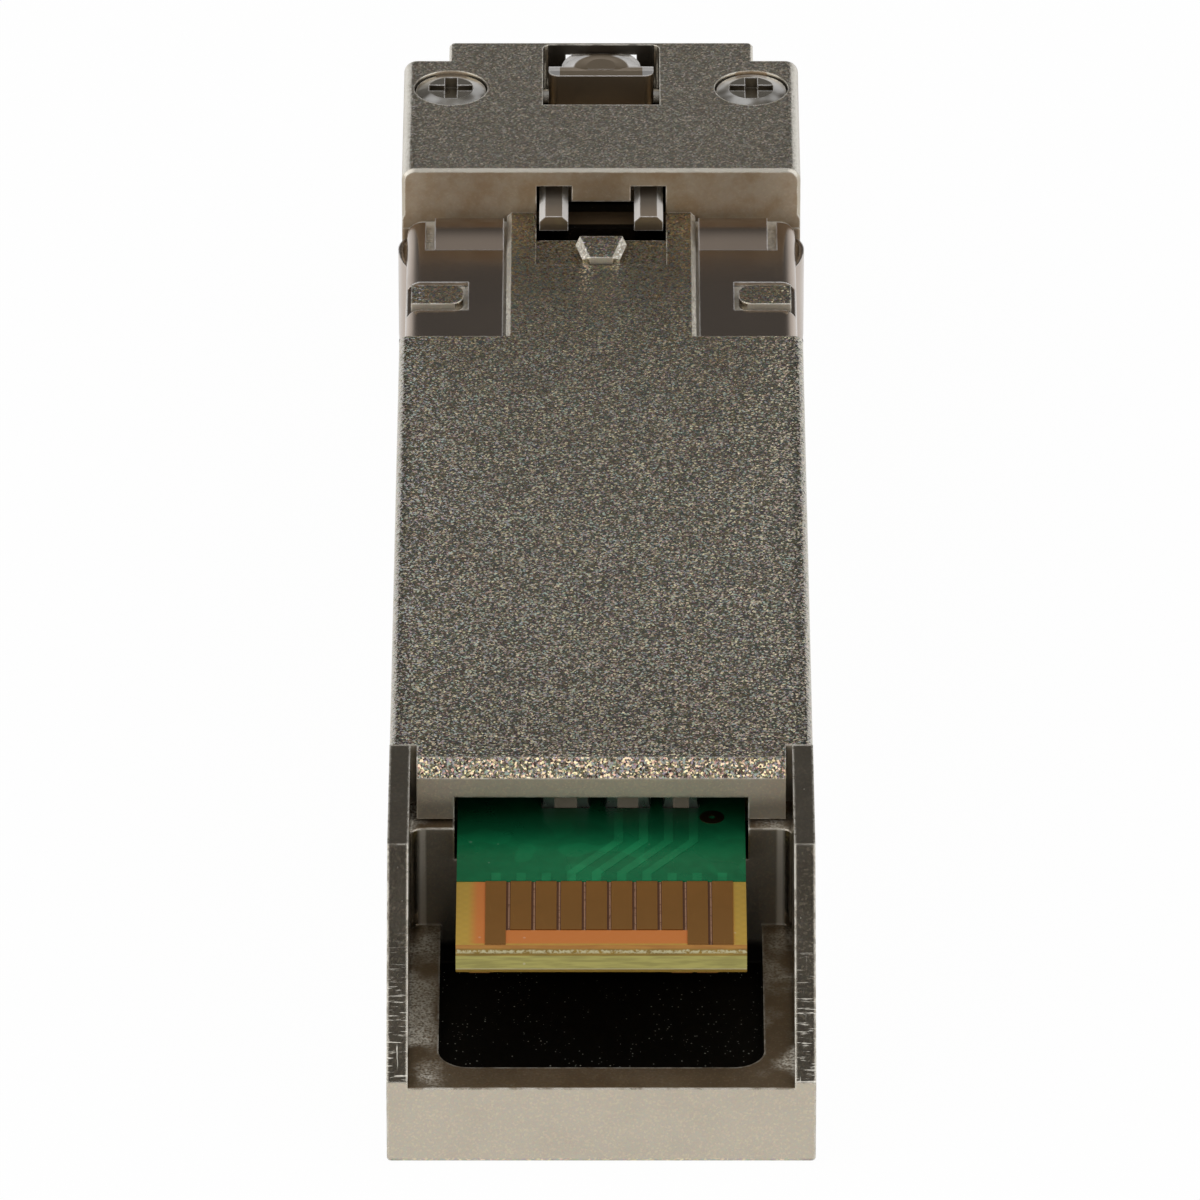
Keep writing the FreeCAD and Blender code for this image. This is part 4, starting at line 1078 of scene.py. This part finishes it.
def add_terminal(bm, low, high, axis, end, share, board_z):
    """A tinned cap on one end of a chip, with the solder that rises to it from the board."""
    wall, spread, steps = 0.012 * MM, 0.13 * MM, 6
    across = 1 - axis
    length = high[axis] - low[axis]
    rise = 0.55 * (high[2] - low[2])
    cap_low = [v - wall for v in low]
    cap_high = [v + wall for v in high]
    if board_z <= low[2] + wall:
        up, cap_low[2] = 1.0, low[2]
    else:
        up, cap_high[2] = -1.0, high[2]
    if end > 0:
        outer, cap_low[axis] = cap_high[axis], high[axis] - share * length
    else:
        outer, cap_high[axis] = cap_low[axis], low[axis] + share * length
    add_block(bm, cap_low, cap_high)
    profile = [(0.0, 0.0)]
    for i in range(steps + 1):
        turn = HALF * math.pi * i / steps
        profile.append((spread * (1.0 - math.sin(turn)), rise * (1.0 - math.cos(turn))))
    rows = []
    for side in (cap_low[across] + wall, cap_high[across] - wall):
        row = []
        for out, height in profile:
            spot = [0.0, 0.0, board_z + up * height]
            spot[axis] = outer + end * out
            spot[across] = side
            row.append(bm.verts.new(spot))
        rows.append(row)
    count = len(profile)
    for i in range(count):
        j = (i + 1) % count
        bm.faces.new([rows[0][i], rows[0][j], rows[1][j], rows[1][i]])
    bm.faces.new(rows[0])
    bm.faces.new(rows[1])


def add_leads(bm, low, high, pitch, board_z):
    """Flat leads round a moulded package, each with a small foot of solder."""
    up = 1.0 if abs(board_z - low.z) < abs(board_z - high.z) else -1.0
    height = 0.2 * (high.z - low.z)
    top_z, toe_z = board_z + up * height, board_z + up * 0.3 * height
    width, reach, bury, same = 0.5 * pitch, 0.1 * MM, 0.02 * MM, 1e-9
    for axis in (0, 1):
        across = 1 - axis
        span = high[across] - low[across] - pitch
        count = max(2, int(span / pitch))
        middle = (high[across] + low[across]) * HALF
        for number in range(count):
            centre = middle + (number - (count - 1) * HALF) * pitch
            for end, face in ((-1, low[axis]), (1, high[axis])):
                tip = face + end * reach
                a, b = [0.0] * 3, [0.0] * 3
                a[axis], b[axis] = sorted((face - end * bury, tip))
                a[across], b[across] = centre - width * HALF, centre + width * HALF
                a[2], b[2] = sorted((board_z, top_z))
                for vert in add_block(bm, a, b):
                    if abs(vert.co[axis] - tip) < same and abs(vert.co.z - top_z) < same:
                        vert.co.z = toe_z


def solder_finish(name, colour):
    """Tinned metal with a soft, slightly rippled shine."""
    material, w, shader = new_finish(name, 0.28, metallic=1.0)
    film = w.group("dust", spacing=0.2 * MM, amount=0.15)["Film"]
    ripple = w.noise(w.place(), 6000.0, detail=3.0)["Fac"]
    w.feed(shader["Base Color"], w.blend(film, colour, toned(colour, 0.7)))
    w.feed(shader["Roughness"], w.graded(ripple, 0.2, 0.2))
    w.feed(shader["Normal"], w.bump(0.3, 0.012 * MM, ripple))
    return material


def board_face(low, high, board_low, board_high):
    """The height of the board face that a part stands on."""
    on_top = abs(low.z - board_high.z) < abs(high.z - board_low.z)
    return board_high.z if on_top else board_low.z


class TRANSCEIVER_OT_chips(bpy.types.Operator):
    """Finishes the parts on the board and adds their terminals and leads"""

    bl_idname = "transceiver.chips"
    bl_label = "Chips"

    def execute(self, context):
        settings = context.scene.transceiver_chips
        board_low, board_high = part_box("circuit_board")
        solder = solder_finish("Tinned ends", settings.solder)
        epoxy = moulded_finish("Package epoxy", settings.epoxy, 0.5, pore=0.04 * MM)
        ceramic = moulded_finish("Capacitor ceramic", settings.capacitor, 0.45, pore=0.05 * MM)
        film = moulded_finish("Resistor film", settings.resistor, 0.35, pore=0.05 * MM)
        for name in CHIPS:
            is_film = name == "chip_resistors"
            dress(name, film if is_film else ceramic)
            bm = bmesh.new()
            for low, high in islands(name):
                axis = 0 if high.x - low.x > high.y - low.y else 1
                board_z = board_face(low, high, board_low, board_high)
                for end in (-1, 1):
                    add_terminal(bm, low, high, axis, end, settings.cap_share, board_z)
            new_piece(f"{name}_terminals", bm, solder, "housing")
        for name in PACKAGES:
            dress(name, epoxy)
            bm = bmesh.new()
            low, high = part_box(name)
            add_leads(bm, low, high, settings.lead_pitch, board_face(low, high, board_low, board_high))
            new_piece(f"{name}_leads", bm, solder, "housing")
        return {"FINISHED"}


# ---------------------------------------------------------------- optics


def ceramic_finish(name, colour):
    """Polished ceramic with faint cloudiness under a clear shine."""
    material, w, shader = new_finish(name, 0.16, Coat_Weight=0.4, Coat_Roughness=0.05)
    film = w.group("dust", spacing=0.3 * MM, amount=0.08)["Film"]
    w.feed(shader["Base Color"], w.blend(film, colour, toned(colour, 0.93)))
    w.feed(shader["Roughness"], w.graded(film, 0.08, 0.12))
    return material


def film_finish(name, colour):
    """Amber film over copper tracks that run along it."""
    material, w, shader = new_finish(name, 0.3, Coat_Weight=0.5, Coat_Roughness=0.1)
    track = w.ramp(wave(w, w.axes(w.place())[0], 0.75 * MM), 0.05, 0.25)
    film = w.group("dust", spacing=0.3 * MM, amount=0.1)["Film"]
    clear = w.blend(w.times(film, 0.4), colour, toned(colour, 0.8))
    w.feed(shader["Base Color"], w.blend(track, clear, toned(colour, 1.5)))
    w.feed(shader["Roughness"], w.graded(film, 0.12, 0.24))
    w.feed(shader["Normal"], w.bump(0.4, 0.01 * MM, track))
    return material


class TRANSCEIVER_OT_optics(bpy.types.Operator):
    """Finishes the transmit and receive subassemblies, their retainer and the soft pad"""

    bl_idname = "transceiver.optics"
    bl_label = "Optics"

    def execute(self, context):
        settings = context.scene.transceiver_optics
        finishes = {
            "barrel": sheet_metal_finish(
                "Turned barrel", settings.barrel, 0.24, 0.04 * MM, stretch=(600.0, 9000.0, 600.0), lines=0.4),
            "sleeve": ceramic_finish("Sleeve ceramic", settings.ceramic),
            "can": gold_finish("Flashed can", settings.can, 0.3),
            "flex": film_finish("Amber film", settings.film),
        }
        for side in ("transmitter", "receiver"):
            for piece, material in finishes.items():
                dress(f"{side}_{piece}", material)
        dress("optics_retainer", moulded_finish("Retainer plastic", settings.retainer, 0.5, pore=0.05 * MM))
        dress("thermal_pad", moulded_finish("Pad silicone", settings.pad, 0.72, pore=0.12 * MM))
        return {"FINISHED"}


# ---------------------------------------------------------------- stage


def floor_finish(settings):
    """A pale floor that shows as white from above, takes the shadow and is clear from below."""
    material, w, shader = new_finish("Pale floor", 0.9, Specular_IOR_Level=0.1)
    nodes, link = material.node_tree.nodes, material.node_tree.links.new
    mottle = w.noise(w.place(), 40.0)["Fac"]
    w.feed(shader["Base Color"], w.blend(mottle, settings.floor, toned(settings.floor, 0.985)))
    path = w.node("ShaderNodeLightPath").outputs
    seen = w.most(path["Is Camera Ray"], path["Is Glossy Ray"], path["Is Transmission Ray"])
    glow = w.node("ShaderNodeEmission", {"Color": (1.0, 1.0, 1.0), "Strength": 1.0})
    mix = w.node("ShaderNodeMixShader")
    w.feed(mix.inputs[0], w.times(seen, settings.floor_glow))
    link(nodes["Principled BSDF"].outputs[0], mix.inputs[1])
    link(glow.outputs[0], mix.inputs[2])
    clear = w.node("ShaderNodeBsdfTransparent")
    open_below = w.node("ShaderNodeMixShader")
    w.feed(open_below.inputs[0], w.node("ShaderNodeNewGeometry").outputs["Backfacing"])
    link(mix.outputs[0], open_below.inputs[1])
    link(clear.outputs[0], open_below.inputs[2])
    link(open_below.outputs[0], nodes["Material Output"].inputs["Surface"])
    return material


def light_room(settings):
    """A dim room with a white sweep low on the far and left sides and a soft ceiling."""
    world = bpy.data.worlds.new("Studio room")
    bpy.context.scene.world = world
    world.use_nodes = True
    w = Wiring(world.node_tree)
    x, y, z = w.axes(w.node("ShaderNodeTexCoord").outputs["Generated"])
    beyond = w.most(w.ramp(y, 0.0, 0.7), w.ramp(x, 0.1, -0.7))
    sweep = w.times(beyond, w.ramp(z, 0.42, 0.1), settings.sweep)
    above = w.times(w.ramp(z, 0.75, 1.0), settings.ceiling)
    level = w.calc("ADD", w.calc("ADD", sweep, above), settings.dusk)
    background = world.node_tree.nodes["Background"]
    w.feed(background.inputs["Color"], w.blend(level, (0.0, 0.0, 0.0), (1.0, 1.0, 1.0)))
    background.inputs["Strength"].default_value = 1.0


def set_up(name, data, place, target):
    """Puts a lamp or a camera in its place and turns it to its target."""
    holder = bpy.data.objects.new(name, data)
    holder.location = place
    holder.rotation_euler = (Vector(target) - Vector(place)).to_track_quat("-Z", "Y").to_euler()
    bpy.context.scene.collection.objects.link(holder)
    return holder


def add_lamp(name, place, power):
    """A large square lamp that points at the part."""
    lamp = bpy.data.lights.new(name, "AREA")
    lamp.shape = "RECTANGLE"
    lamp.size = lamp.size_y = LAMP_SIZE
    lamp.energy = power
    set_up(name, lamp, place, LAMP_TARGET)


class TRANSCEIVER_OT_stage(bpy.types.Operator):
    """Sets the floor, the lamps, the room and the camera"""

    bl_idname = "transceiver.stage"
    bl_label = "Stage"

    def execute(self, context):
        settings = context.scene.transceiver_stage
        bm = bmesh.new()
        corners = [
            bm.verts.new((x * FLOOR_REACH, y * FLOOR_REACH, -FLOOR_DROP))
            for x, y in ((-1, -1), (1, -1), (1, 1), (-1, 1))
        ]
        bm.faces.new(corners)
        mesh = bpy.data.meshes.new("floor")
        bm.to_mesh(mesh)
        bm.free()
        mesh.materials.append(floor_finish(settings))
        floor = bpy.data.objects.new("floor", mesh)
        context.scene.collection.objects.link(floor)
        light_room(settings)
        add_lamp("key_lamp", KEY_PLACE, settings.key_power)
        add_lamp("fill_lamp", FILL_PLACE, settings.fill_power)
        lens = bpy.data.cameras.new("photo_camera")
        lens.sensor_width, lens.lens = SENSOR_WIDTH, LENS
        lens.clip_start, lens.clip_end = CLIP_START, CLIP_END
        context.scene.camera = set_up("photo_camera", lens, CAMERA_PLACE, CAMERA_TARGET)
        context.scene.view_settings.view_transform = "Standard"
        return {"FINISHED"}


# ---------------------------------------------------------------- add-on


SETTINGS = {
    "transceiver_castings": CastingSettings,
    "transceiver_collar": CollarSettings,
    "transceiver_release": ReleaseSettings,
    "transceiver_bail": BailSettings,
    "transceiver_board": BoardSettings,
    "transceiver_chips": ChipSettings,
    "transceiver_optics": OpticsSettings,
    "transceiver_stage": StageSettings,
}
OPERATORS = (
    TRANSCEIVER_OT_castings, TRANSCEIVER_OT_collar, TRANSCEIVER_OT_release, TRANSCEIVER_OT_bail,
    TRANSCEIVER_OT_board, TRANSCEIVER_OT_chips, TRANSCEIVER_OT_optics, TRANSCEIVER_OT_stage,
)


class TRANSCEIVER_PT_steps(bpy.types.Panel):
    """Lists the steps that finish the transceiver, with their settings"""

    bl_label = "Transceiver"
    bl_idname = "TRANSCEIVER_PT_steps"
    bl_space_type = "VIEW_3D"
    bl_region_type = "UI"
    bl_category = "Transceiver"

    def draw(self, context):
        for operator, (name, group) in zip(OPERATORS, SETTINGS.items()):
            box = self.layout.box()
            box.operator(operator.bl_idname)
            for setting in group.__annotations__:
                box.prop(getattr(context.scene, name), setting)


CLASSES = (*SETTINGS.values(), *OPERATORS, TRANSCEIVER_PT_steps)


def register():
    for each in CLASSES:
        bpy.utils.register_class(each)
    for name, group in SETTINGS.items():
        setattr(bpy.types.Scene, name, bpy.props.PointerProperty(type=group))


def unregister():
    for name in SETTINGS:
        delattr(bpy.types.Scene, name)
    for each in reversed(CLASSES):
        bpy.utils.unregister_class(each)


def main():
    register()
    bpy.ops.transceiver.castings()
    bpy.ops.transceiver.collar()
    bpy.ops.transceiver.release()
    bpy.ops.transceiver.bail()
    bpy.ops.transceiver.board()
    bpy.ops.transceiver.chips()
    bpy.ops.transceiver.optics()
    bpy.ops.transceiver.stage()


if __name__ == "__main__":
    main()
